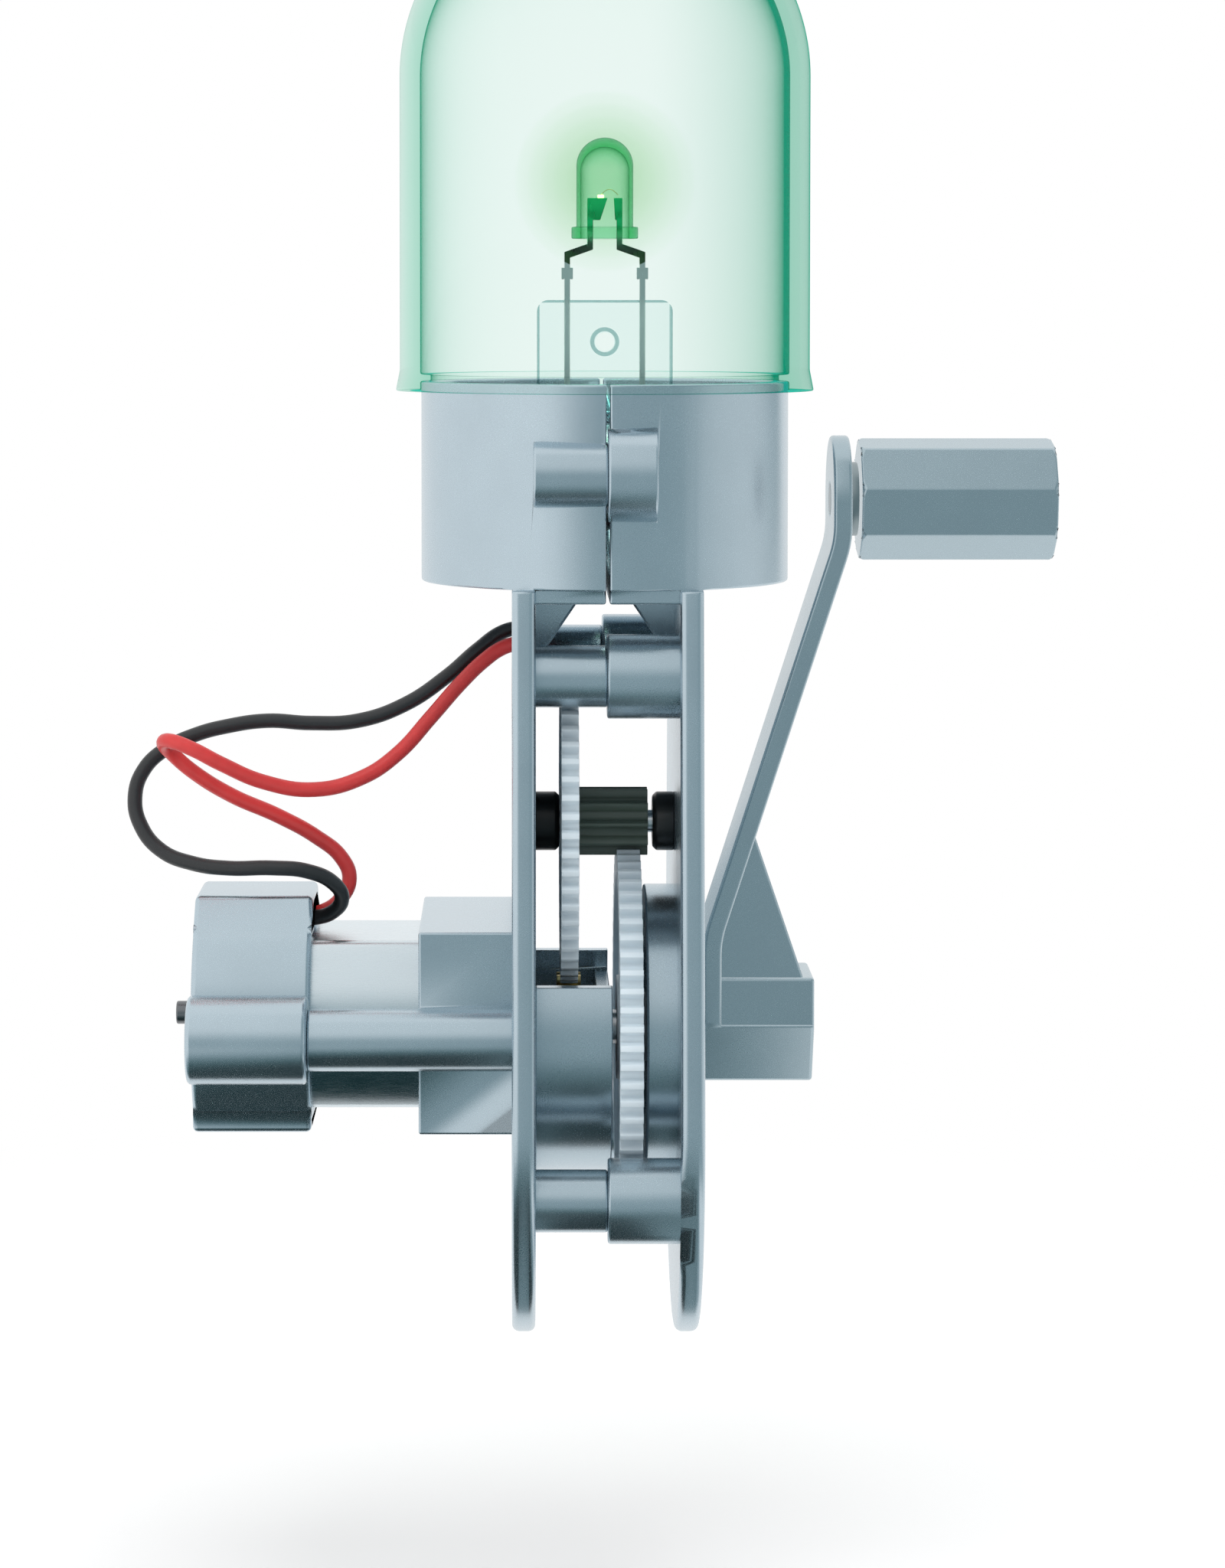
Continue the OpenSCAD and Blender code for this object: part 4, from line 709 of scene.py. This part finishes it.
class FLASHLIGHT_OT_stage(bpy.types.Operator):
    """Sets up the white world, the floor, the card that reflections see, the painted glow round the
    lamp, and the lamps
    """

    bl_idname = "flashlight.stage"
    bl_label = "Studio"

    def execute(self, context):
        scene = context.scene
        scene.view_settings.view_transform = "Standard"
        self.world(scene)
        self.floor()
        self.front_sweep()
        self.glow()
        self.lamp("top_lamp", (0.0, -0.3, 0.63), (0, 0, 0), 0.36, 1.3)
        self.lamp("left_lamp", (-0.45, -0.4, 0.3), (0, 0, 0.05), 0.4, 0.4)
        self.lamp("back_lamp", (0.14, 0.5, 0.7), (0, 0, 0), 0.3, 1.2)
        return {"FINISHED"}

    def seen(self, s):
        """1 for the rays that see the white studio: from the camera, and off or through the object."""
        light_path = "ShaderNodeLightPath"
        camera = s.node(light_path, output="Is Camera Ray")
        glossy = s.node(light_path, output="Is Glossy Ray")
        through = s.node(light_path, output="Is Transmission Ray")
        return s.maths("MINIMUM", camera + glossy + through, 1.0)

    def world(self, scene):
        """White world that lights the object a little less than it shows."""
        world = bpy.data.worlds.new("studio")
        scene.world = world
        s = Shader(world)
        strength = 0.75 + self.seen(s) * 0.25
        light = s.node("ShaderNodeBackground", {}, {"Color": WHITE, "Strength": strength})
        s.out(light, kind="ShaderNodeOutputWorld")

    def floor(self):
        """Disc of rings: P(r, t) = (r cos t, r sin t), white far out, matt with a shadow inside.

        Its faces look down, so their backs are seen from above. From below the floor is clear.
        """
        drop, reach = settings().floor_drop, 2.5
        radius = np.linspace(0, 1, 60)[:, None] ** 2 * reach
        turn = np.linspace(0, TAU, 64, endpoint=False)[None, :]
        flat = np.full(np.broadcast(radius, turn).shape, -drop)
        grid = np.stack([radius * np.cos(turn), radius * np.sin(turn), flat], axis=-1)
        piece = skin("floor", [(grid, False, True)])
        material, s = new_material("floor_white")
        shadow_middle, shadow_r, white_r = (-0.01, 0.07, -drop), 0.065, 0.16
        offset = s.vectors("SUBTRACT", s.where(), shadow_middle)
        far = s.ramp(s.vectors("LENGTH", offset, output="Value"), shadow_r, white_r)
        mirrored = s.node("ShaderNodeLightPath", output="Is Glossy Ray")
        share = s.maths("MAXIMUM", far, mirrored)
        matt = s.node("ShaderNodeBsdfDiffuse", {}, {"Color": (0.98, 0.98, 0.98, 1)})
        white = s.node("ShaderNodeEmission", {}, {"Color": WHITE, "Strength": 1.0})
        mixed = s.node("ShaderNodeMixShader", {}, {0: self.seen(s) * share, 1: matt, 2: white})
        above = s.node("ShaderNodeNewGeometry", output="Backfacing")
        clear = s.node("ShaderNodeBsdfTransparent")
        s.out(s.node("ShaderNodeMixShader", {}, {0: above, 1: clear, 2: mixed}))
        piece.data.materials.append(material)

    def front_sweep(self):
        """Card that only reflections see: under the object, along the floor, up in front and over it.

        A profile (y, z) is drawn along x, and bends round to the rear on the right by a quarter turn.
        Its tone follows the direction u from the object's middle: dark straight below, grey ahead,
        and bright to the left, in the upper left and low on the right.
        """
        low, bend_r = -10.5 * MM, 0.8
        profile = rounded([(-0.003, low), (-0.6, low), (-0.66, 0.5), (-0.12, 0.66)], 0.2, 24)
        across = np.linspace(-bend_r, 2.0, 70)[:, None]
        along, up = profile[:, 0][None, :], profile[:, 1][None, :]
        turn = np.clip(across / bend_r, 0, math.pi / 2)
        bend = bend_r * (1 - np.cos(turn)) + np.maximum(across - bend_r * math.pi / 2, 0)
        across = np.where(across > 0, bend_r * np.sin(turn), across)
        away = np.clip(-along / 0.3, 0, 1)
        grid = np.stack(np.broadcast_arrays(across, along + bend * away, up), axis=-1)
        piece = skin("front_sweep", [(grid, False, False)], closed=False)
        material, s = new_material("sweep_card")
        object_middle = (0.0, 0.0, 0.045)
        unit = s.vectors("NORMALIZE", s.vectors("SUBTRACT", s.where(), object_middle))
        side, rise = s.part(unit, "X"), s.part(unit, "Z")
        left = s.ramp(side, -0.05, -0.75)
        upper = s.ramp(rise, 0.0, 0.6) * s.ramp(side, 0.5, -0.4)
        beside = s.maths("ABSOLUTE", s.part(s.where(), "X"))
        plates = s.ramp(beside, 9.6 * MM, 8.4 * MM) * s.ramp(beside, 4.8 * MM, 6.0 * MM)
        below = s.ramp(rise, -0.3, -0.8) * s.ramp(side, 0.26, 0.08) * (1.0 - plates * 0.7)
        right = s.ramp(side, 0.7, 1.0) * 0.35
        under = s.ramp(side, 0.26, 0.42) * s.ramp(rise, -0.55, -0.75)
        brightest = s.maths("MAXIMUM", s.maths("MAXIMUM", left, upper), under)
        bright = brightest * 0.66 + 0.44 + right + under * 0.25
        tone = bright * (1.0 - below * 0.97)
        stops = (
            (0.0, (0.0, 0.01, 0.012)), (0.15, (0.07, 0.15, 0.16)),
            (0.45, (0.36, 0.45, 0.48)), (1.0, (1.0, 1.0, 1.0)))
        colour = s.node("ShaderNodeValToRGB", {"stops": stops}, {0: tone})
        s.out(s.node("ShaderNodeEmission", {}, {"Color": colour, "Strength": 1.0}))
        piece.data.materials.append(material)
        piece.visible_camera = False
        piece.visible_diffuse = False
        piece.visible_transmission = False
        piece.visible_shadow = False

    def glow(self):
        """Painted glow round the lamp: nested balls, each of which tints what is behind it green,
        standing in for the lamp's light in the air.
        """
        centre = (0.0, 0.0, middle("led_lens")[2] + 0.6 * MM)
        tint, density = (0.1, 0.62, 0.05, 1.0), 11.0
        tilt = np.linspace(-math.pi / 2, math.pi / 2, 33)[:, None]
        for number, radius in enumerate((3.4, 4.5, 5.6, 6.7, 7.8), start=1):
            ring = np.hstack([np.cos(tilt), np.sin(tilt)]) * radius * MM
            piece = skin(f"lamp_painted_glow_{number}", [(lathe(ring, 64, centre), False, True)])
            material, s = new_material(f"haze_{number}")
            # Painted glow: a green tint of what lies behind, with no light of its own.
            painted_glow = s.node("ShaderNodeVolumeAbsorption", {}, {"Color": tint, "Density": density})
            s.node("ShaderNodeOutputMaterial", {}, {"Volume": painted_glow})
            piece.data.materials.append(material)
            piece.visible_glossy = False
            piece.visible_shadow = False

    def lamp(self, name, place, target, size, energy):
        """Round lamp that faces its target, and that no reflection shows."""
        data = bpy.data.lights.new(name, "AREA")
        data.shape = "DISK"
        data.size = size
        data.energy = energy
        lamp = link(name, data)
        lamp.location = place
        aim = np.subtract(place, target)
        tilt = math.atan2(math.hypot(aim[0], aim[1]), aim[2])
        lamp.rotation_euler = (tilt, 0, math.atan2(aim[1], aim[0]) + math.pi / 2)
        lamp.visible_glossy = False


class FLASHLIGHT_OT_frame(bpy.types.Operator):
    """Rounds and paints the two halves of the frame, the gear guard and the generator's cap"""

    bl_idname = "flashlight.frame"
    bl_label = "Frame"

    def execute(self, context):
        sizes = settings()
        silver = silver_paint("frame_silver", sizes.silver, sizes.silver_roughness)
        small = sizes.frame_edge / sizes.foot_edge
        neck = neck_low()
        near, far = 5.9, 8.1

        def plate_share(at):
            """Full width along the plates' outline, a small share of it on all other edges.

            The right plate's edge at the posts and the thin lip in the neck get none.
            """
            x, y, z = np.abs(at[:, 0]), np.abs(at[:, 1]), at[:, 2]
            foot = np.abs(np.hypot(y, z - FOOT_R) - FOOT_R) < 0.3
            straight = (z > FOOT_R + 2) & (z < neck - 0.5) & (y > 15)
            outline = (x > near) & (x < far) & (foot | straight)
            post = np.hypot(y - POST_Y, z - POST_Z) < POST_REACH
            at_post = post & (at[:, 0] > 0) & (x < near + 0.6)
            lip = np.abs(z - neck - LIP_RISE) < 0.3
            return np.where(outline, np.where(at_post, 0.0, 1.0), np.where(lip, 0.0, small))

        for side in ("left", "right"):
            piece = softened("frame_" + side, sizes.foot_edge, 4, plate_share)
            fit_out(piece, silver, "frame", "frame_plastic", "frame_" + side)
        for node, edges in (("gear_guard", 0.5), ("motor_cap", 2)):
            piece = softened(node, edges * sizes.frame_edge)
            fit_out(piece, silver, "frame", "frame_plastic", node)
        return {"FINISHED"}


class FLASHLIGHT_OT_crank(bpy.types.Operator):
    """Rounds and paints the crank arm, its pin and its eight-sided knob"""

    bl_idname = "flashlight.crank"
    bl_label = "Crank"

    def execute(self, context):
        sizes = settings()
        silver = silver_paint("crank_silver", sizes.crank_silver, sizes.silver_roughness)
        arm = softened("crank_arm", sizes.crank_edge)
        fit_out(arm, silver, "crank", "crank_plastic", "crank_arm")
        knob, cap = (softened(node, sizes.knob_edge) for node in ("crank_knob", "knob_cap"))
        fit_out(knob, silver, "knob", "crank_plastic", "crank_knob")
        fit_out(cap, silver, "knob", "crank_plastic", "knob_cap")
        for piece in (arm, knob, cap):
            piece.visible_glossy = False
        steel = drawn_metal("pin_steel", (0.30, 0.36, 0.38), 0.35)
        pin = softened("knob_pin", 0.1 * MM)
        fit_out(pin, steel, "crank", "steel", "knob_pin")
        pin.visible_glossy = False
        return {"FINISHED"}


class FLASHLIGHT_OT_gears(bpy.types.Operator):
    """Finishes the gears, their shafts, bushes and spacers"""

    bl_idname = "flashlight.gears"
    bl_label = "Gears"

    def execute(self, context):
        sizes = settings()
        pale = moulded_plastic("gear_pale", sizes.gear_pale, 0.42)
        dark = moulded_plastic("gear_dark", sizes.gear_dark, 0.38)
        black = moulded_plastic("bush_black", (0.012, 0.013, 0.014), 0.34)
        steel = drawn_metal("shaft_steel", (0.66, 0.68, 0.70), 0.22)
        brass = drawn_metal("gear_brass", (0.72, 0.56, 0.26), 0.3)
        for node, body, slot, material, edge in (
            ("drive_gear", "crank", "gear_pale", pale, sizes.gear_edge),
            ("idler_gear", "idler", "gear_pale", pale, sizes.gear_edge),
            ("idler_pinion", "idler", "gear_dark", dark, sizes.gear_edge),
            ("motor_pinion", "rotor", "brass", brass, sizes.gear_edge),
            ("idler_spacer_left", "frame", "bush_black", black, 2 * sizes.gear_edge),
            ("idler_spacer_right", "frame", "bush_black", black, 2 * sizes.gear_edge),
            ("crank_bush", "frame", "bush_black", black, 2 * sizes.gear_edge),
            ("crank_shaft", "crank", "steel", steel, 3 * sizes.gear_edge),
            ("idler_axle", "frame", "steel", steel, 3 * sizes.gear_edge),
        ):
            fit_out(softened(node, edge, 2), material, body, slot, node)
        paint(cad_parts["guard_bush"], black)
        return {"FINISHED"}


class FLASHLIGHT_OT_motor(bpy.types.Operator):
    """Finishes the generator's can, end bell, bearings, armature and shaft"""

    bl_idname = "flashlight.motor"
    bl_label = "Generator"

    def execute(self, context):
        can = drawn_metal("can_steel", (0.72, 0.80, 0.84), 0.27)
        steel = drawn_metal("rotor_steel", (0.2, 0.21, 0.22), 0.3)
        brass = drawn_metal("motor_brass", (0.72, 0.56, 0.26), 0.3)
        white = moulded_plastic("bell_white", (0.74, 0.75, 0.72), 0.4)
        fit_out(softened("motor_can", 0.45 * MM), can, "frame", "can_steel", "motor_can")
        fit_out(softened("motor_shaft", 0.15 * MM, 2), steel, "rotor", "steel", "motor_shaft")
        bell = softened("motor_end_bell", 0.12 * MM, 2)
        fit_out(bell, white, "frame", "bell_plastic", "motor_end_bell")
        magnet = moulded_plastic("magnet_ferrite", (0.06, 0.06, 0.065), 0.6)
        copper = wound_copper("winding_copper", (0.72, 0.34, 0.14))
        segment = drawn_metal("commutator_copper", (0.8, 0.42, 0.24), 0.25, (1.0, 0.06, 0.06))
        core = laminated_steel("core_steel", (0.4, 0.4, 0.42))
        for node, material in (
            ("motor_front_bearing", brass), ("motor_rear_bearing", brass), ("motor_magnets", magnet),
            ("armature_core", core), ("armature_windings", copper), ("commutator", segment),
            ("motor_brushes", brass), ("motor_terminals", brass),
        ):
            paint(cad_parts[node], material)
        return {"FINISHED"}


class FLASHLIGHT_OT_fasteners(bpy.types.Operator):
    """Cuts the screws with their threads and cross recesses"""

    bl_idname = "flashlight.fasteners"
    bl_label = "Screws"

    def execute(self, context):
        steel = drawn_metal("screw_steel", (0.62, 0.64, 0.66), 0.24, (1.0, 1.0, 1.0))
        posts = self.places("frame_screws")
        ties = self.places("motor_screws")
        radius, head_r, head_h, pitch = 0.9 * MM, 1.7 * MM, 1.2 * MM, 0.7 * MM
        low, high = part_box("frame_screws")
        seat = high[0] - head_h
        grids = [screw((seat, y, z), seat - low[0], radius, head_r, head_h, pitch, 1) for y, z in posts]
        fit_out(skin("frame_screw_set", grids), steel, "frame", "steel", "frame_screws")
        low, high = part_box("motor_screws")
        seat = low[0] + head_h
        grids = [screw((seat, y, z), high[0] - seat, radius, head_r, head_h, pitch, -1) for y, z in ties]
        fit_out(skin("motor_screw_set", grids), steel, "frame", "steel", "motor_screws")
        pitch = 0.6 * MM
        for node, radius, head_h in (
            ("crank_screw", 0.7 * MM, 1.1 * MM), ("knob_screw", 0.8 * MM, 1 * MM),
        ):
            low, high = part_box(node)
            head_r = (high[1] - low[1]) / 2
            seat = (high[0] - head_h, *middle(node)[1:])
            grid = screw(seat, seat[0] - low[0], radius, head_r, head_h, pitch, 1)
            fit_out(skin(node + "_turned", [grid]), steel, "crank", "steel", node)
        return {"FINISHED"}

    def places(self, node):
        """Axes of a group of screws: the middles of the groups of points far from each other."""
        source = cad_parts[node]
        points = np.empty(len(source.data.vertices) * 3)
        source.data.vertices.foreach_get("co", points)
        points = points.reshape(-1, 3)[:, 1:]
        places, screw_width = [], 3.6 * MM
        while len(points):
            near = np.linalg.norm(points - points[0], axis=1) < screw_width
            cluster = points[near]
            places.append(tuple((cluster.min(axis=0) + cluster.max(axis=0)) / 2))
            points = points[~near]
        return places


class FLASHLIGHT_OT_lamp(bpy.types.Operator):
    """Blows the dome and finishes the lamp, its leads and its clear holder"""

    bl_idname = "flashlight.lamp"
    bl_label = "Dome and lamp"

    def execute(self, context):
        sizes = settings()
        dome = self.dome()
        glass = clear_plastic(
            "dome_clear", sizes.dome_tint, sizes.dome_density, sizes.dome_rim, self.dome_share, 0.1)
        fit_out(dome, glass, "frame", "dome_clear", "dome")
        dome.visible_shadow = False
        dome.visible_glossy = False
        lens = self.lens()
        epoxy = clear_plastic(
            "lens_clear", (0.14, 0.81, 0.46), 700.0, (0.0, 0.33, 0.16), lambda s: grazing(s, 2.0), 0.12)
        fit_out(lens, epoxy, "frame", "lens_clear", "led_lens")
        lens.visible_shadow = False
        # The holder's outline and the ring round its hole are painted darker: painted shade on its clear
        # edges.
        acrylic = clear_plastic("holder_clear", (0.3, 0.7, 0.7), 60.0, share=self.holder_edge_shade)
        holder = softened("led_holder", 0.2 * MM)
        fit_out(holder, acrylic, "frame", "holder_clear", "led_holder")
        holder.visible_shadow = False
        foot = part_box("led_lens")[0][2]
        # Painted green light of the lit lamp: the leads turn green from just below the lens up.
        tip = ((0.02, 0.42, 0.2), foot - 1.5 * MM, foot + 1 * MM)
        steel = drawn_metal("lead_steel", (0.5, 0.62, 0.58), 0.3, (1.0, 1.0, 0.06), tip=tip)
        fit_out(softened("led_leads", 0.05 * MM, 2), steel, "frame", "steel", "led_leads")
        self.chip()
        return {"FINISHED"}

    def dome_share(self, s):
        """Tint of the dome's skin: deepest along the wall that is seen edge on, and deeper towards the
        right as painted shade.
        """
        where = s.where()
        x = s.part(where, "X")
        # Painted shade: a tint that grows from the middle towards the right.
        right_side_shade = s.ramp(x, 3 * MM, 16 * MM, 0.14)
        level = s.vectors("MULTIPLY", where, (1.0, 1.0, 0.0))
        reach = s.vectors("LENGTH", level, output="Value")
        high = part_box("dome")[1]
        ball_z = high[2] - high[0] + DOME_FLARE
        above = s.maths("MAXIMUM", s.part(where, "Z") - ball_z, 0.0)
        reach = (reach * reach + above * above) ** 0.5
        inner = s.maths("LESS_THAN", reach, high[0] - 1.2 * MM)
        edge = grazing(s, 3.0) * 0.45 + grazing(s, 5.0) * inner * 1.7 + grazing(s, 14.0) * 0.8
        # Painted shade: the edges' tint is deeper on the right and lighter on the left.
        return edge * (1.0 + x * 24.0) + right_side_shade

    def dome(self):
        """Half a ball on a straight wall with a flared rim, turned from one closed profile."""
        low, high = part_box("dome")
        rim_r, foot, top = high[0], low[2], high[2]
        outer = rim_r - DOME_FLARE
        inner = outer - DOME_WALL
        ledge = inner - 0.9 * MM
        ball_z = top - outer
        ledge_low, ledge_high, flare = foot + 0.8 * MM, foot + 1.4 * MM, foot + 1.8 * MM
        wall = rounded(
            [(inner, ball_z), (inner, ledge_high), (ledge, ledge_high), (ledge, ledge_low),
             (inner, ledge_low), (inner, foot), (rim_r, foot), (outer, flare), (outer, ball_z)],
            0.18 * MM, 5)
        profile = np.vstack([quarter(inner, ball_z, 48)[::-1], wall[1:-1], quarter(outer, ball_z, 48)])
        return skin("dome_blown", [(lathe(profile, 192), False, True)], 30.0)

    def lens(self):
        """Bullet-shaped lamp body with a flange: a deep coloured skin round a clear heart."""
        low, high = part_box("led_lens")
        flange_r, foot, top = high[0], low[2], high[2]
        body_r, heart_r = 2.45 * MM, 2.12 * MM
        ball_z, flange_top, heart_drop = top - body_r, foot + 1 * MM, 0.45 * MM
        wall = rounded(
            [(heart_r, ball_z), (heart_r, foot), (flange_r, foot), (flange_r, flange_top),
             (body_r, flange_top), (body_r, ball_z)], 0.12 * MM, 5)
        heart = quarter(heart_r, ball_z - heart_drop, 24)[::-1]
        profile = np.vstack([heart, wall[1:-1], quarter(body_r, ball_z, 24)])
        return skin("lens_cast", [(lathe(profile, 96), False, True)], 35.0)

    def holder_edge_shade(self, s):
        """Painted shade: 1 along the outline of the holder's plate and round its hole, which darkens its
        clear edges.
        """
        where = s.where()
        half, top, edge = 5.85 * MM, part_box("led_holder")[1][2], 0.22 * MM
        hole_z, ring_r, ring_width = top - 3.6 * MM, 1.08 * MM, 0.17 * MM
        side, z = s.maths("ABSOLUTE", s.part(where, "X")), s.part(where, "Z")
        sides = s.maths("GREATER_THAN", side, half - edge)
        upper = s.maths("GREATER_THAN", z, top - edge)
        drop = z - hole_z
        radius = (side * side + drop * drop) ** 0.5
        ring = s.maths("COMPARE", radius, ring_r, ring_width)
        return s.maths("MAXIMUM", s.maths("MAXIMUM", sides, upper), ring)

    def chip(self):
        """Lit chip on its anvil, and the arch of the bond wire over to the other post."""
        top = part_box("led_leads")[1][2]
        u = np.linspace(-math.pi / 2, math.pi / 2, 13)[:, None]
        v = np.linspace(0, TAU, 32, endpoint=False)[None, :]

        def power(value):
            return np.sign(value) * np.abs(value) ** 0.4

        half = (0.28 * MM, 0.2 * MM, 0.14 * MM)
        chip_x, span, arch_h = -0.35 * MM, 1.5 * MM, 0.5 * MM
        x = chip_x + half[0] * power(np.cos(u)) * power(np.cos(v))
        y = half[1] * power(np.cos(u)) * power(np.sin(v))
        z = top + half[2] * (1 + power(np.sin(u))) + 0 * v
        chip = skin("lamp_chip", [(np.stack([x, y, z], axis=-1), False, True)], 60.0)
        fit_out(chip, lit_chip("chip_light", settings().lamp_glow, 6.0), "frame", "lens_clear")
        t = np.linspace(0, 1, 24)
        height = top + 0.25 * MM + arch_h * np.sin(math.pi * t)
        arch = np.stack([chip_x + span * t, 0 * t, height], axis=1)
        gold = drawn_metal("bond_gold", (0.9, 0.7, 0.3), 0.2)
        bond = skin("bond_wire", [(tube(arch, 0.03 * MM, 10), False, True)])
        fit_out(bond, gold, "frame", "brass")


class FLASHLIGHT_PT_panel(bpy.types.Panel):
    """Lists the steps that finish the flashlight, and its settings"""

    bl_idname = "FLASHLIGHT_PT_panel"
    bl_label = "Flashlight"
    bl_space_type = "VIEW_3D"
    bl_region_type = "UI"
    bl_category = "Flashlight"

    def draw(self, context):
        for operator in STEPS:
            self.layout.operator(operator.bl_idname)
        for name in FlashlightSettings.__annotations__:
            self.layout.prop(context.scene.flashlight, name)


STEPS = (
    FLASHLIGHT_OT_camera, FLASHLIGHT_OT_wires, FLASHLIGHT_OT_stage, FLASHLIGHT_OT_frame,
    FLASHLIGHT_OT_crank, FLASHLIGHT_OT_gears, FLASHLIGHT_OT_motor, FLASHLIGHT_OT_fasteners,
    FLASHLIGHT_OT_lamp,
)
CLASSES = (FlashlightSettings, *STEPS, FLASHLIGHT_PT_panel)


def register():
    for each in CLASSES:
        bpy.utils.register_class(each)
    bpy.types.Scene.flashlight = PointerProperty(type=FlashlightSettings)


def unregister():
    del bpy.types.Scene.flashlight
    for each in reversed(CLASSES):
        bpy.utils.unregister_class(each)


def main():
    register()
    for operator in STEPS:
        group, name = operator.bl_idname.split(".")
        getattr(getattr(bpy.ops, group), name)()


if __name__ == "__main__":
    main()
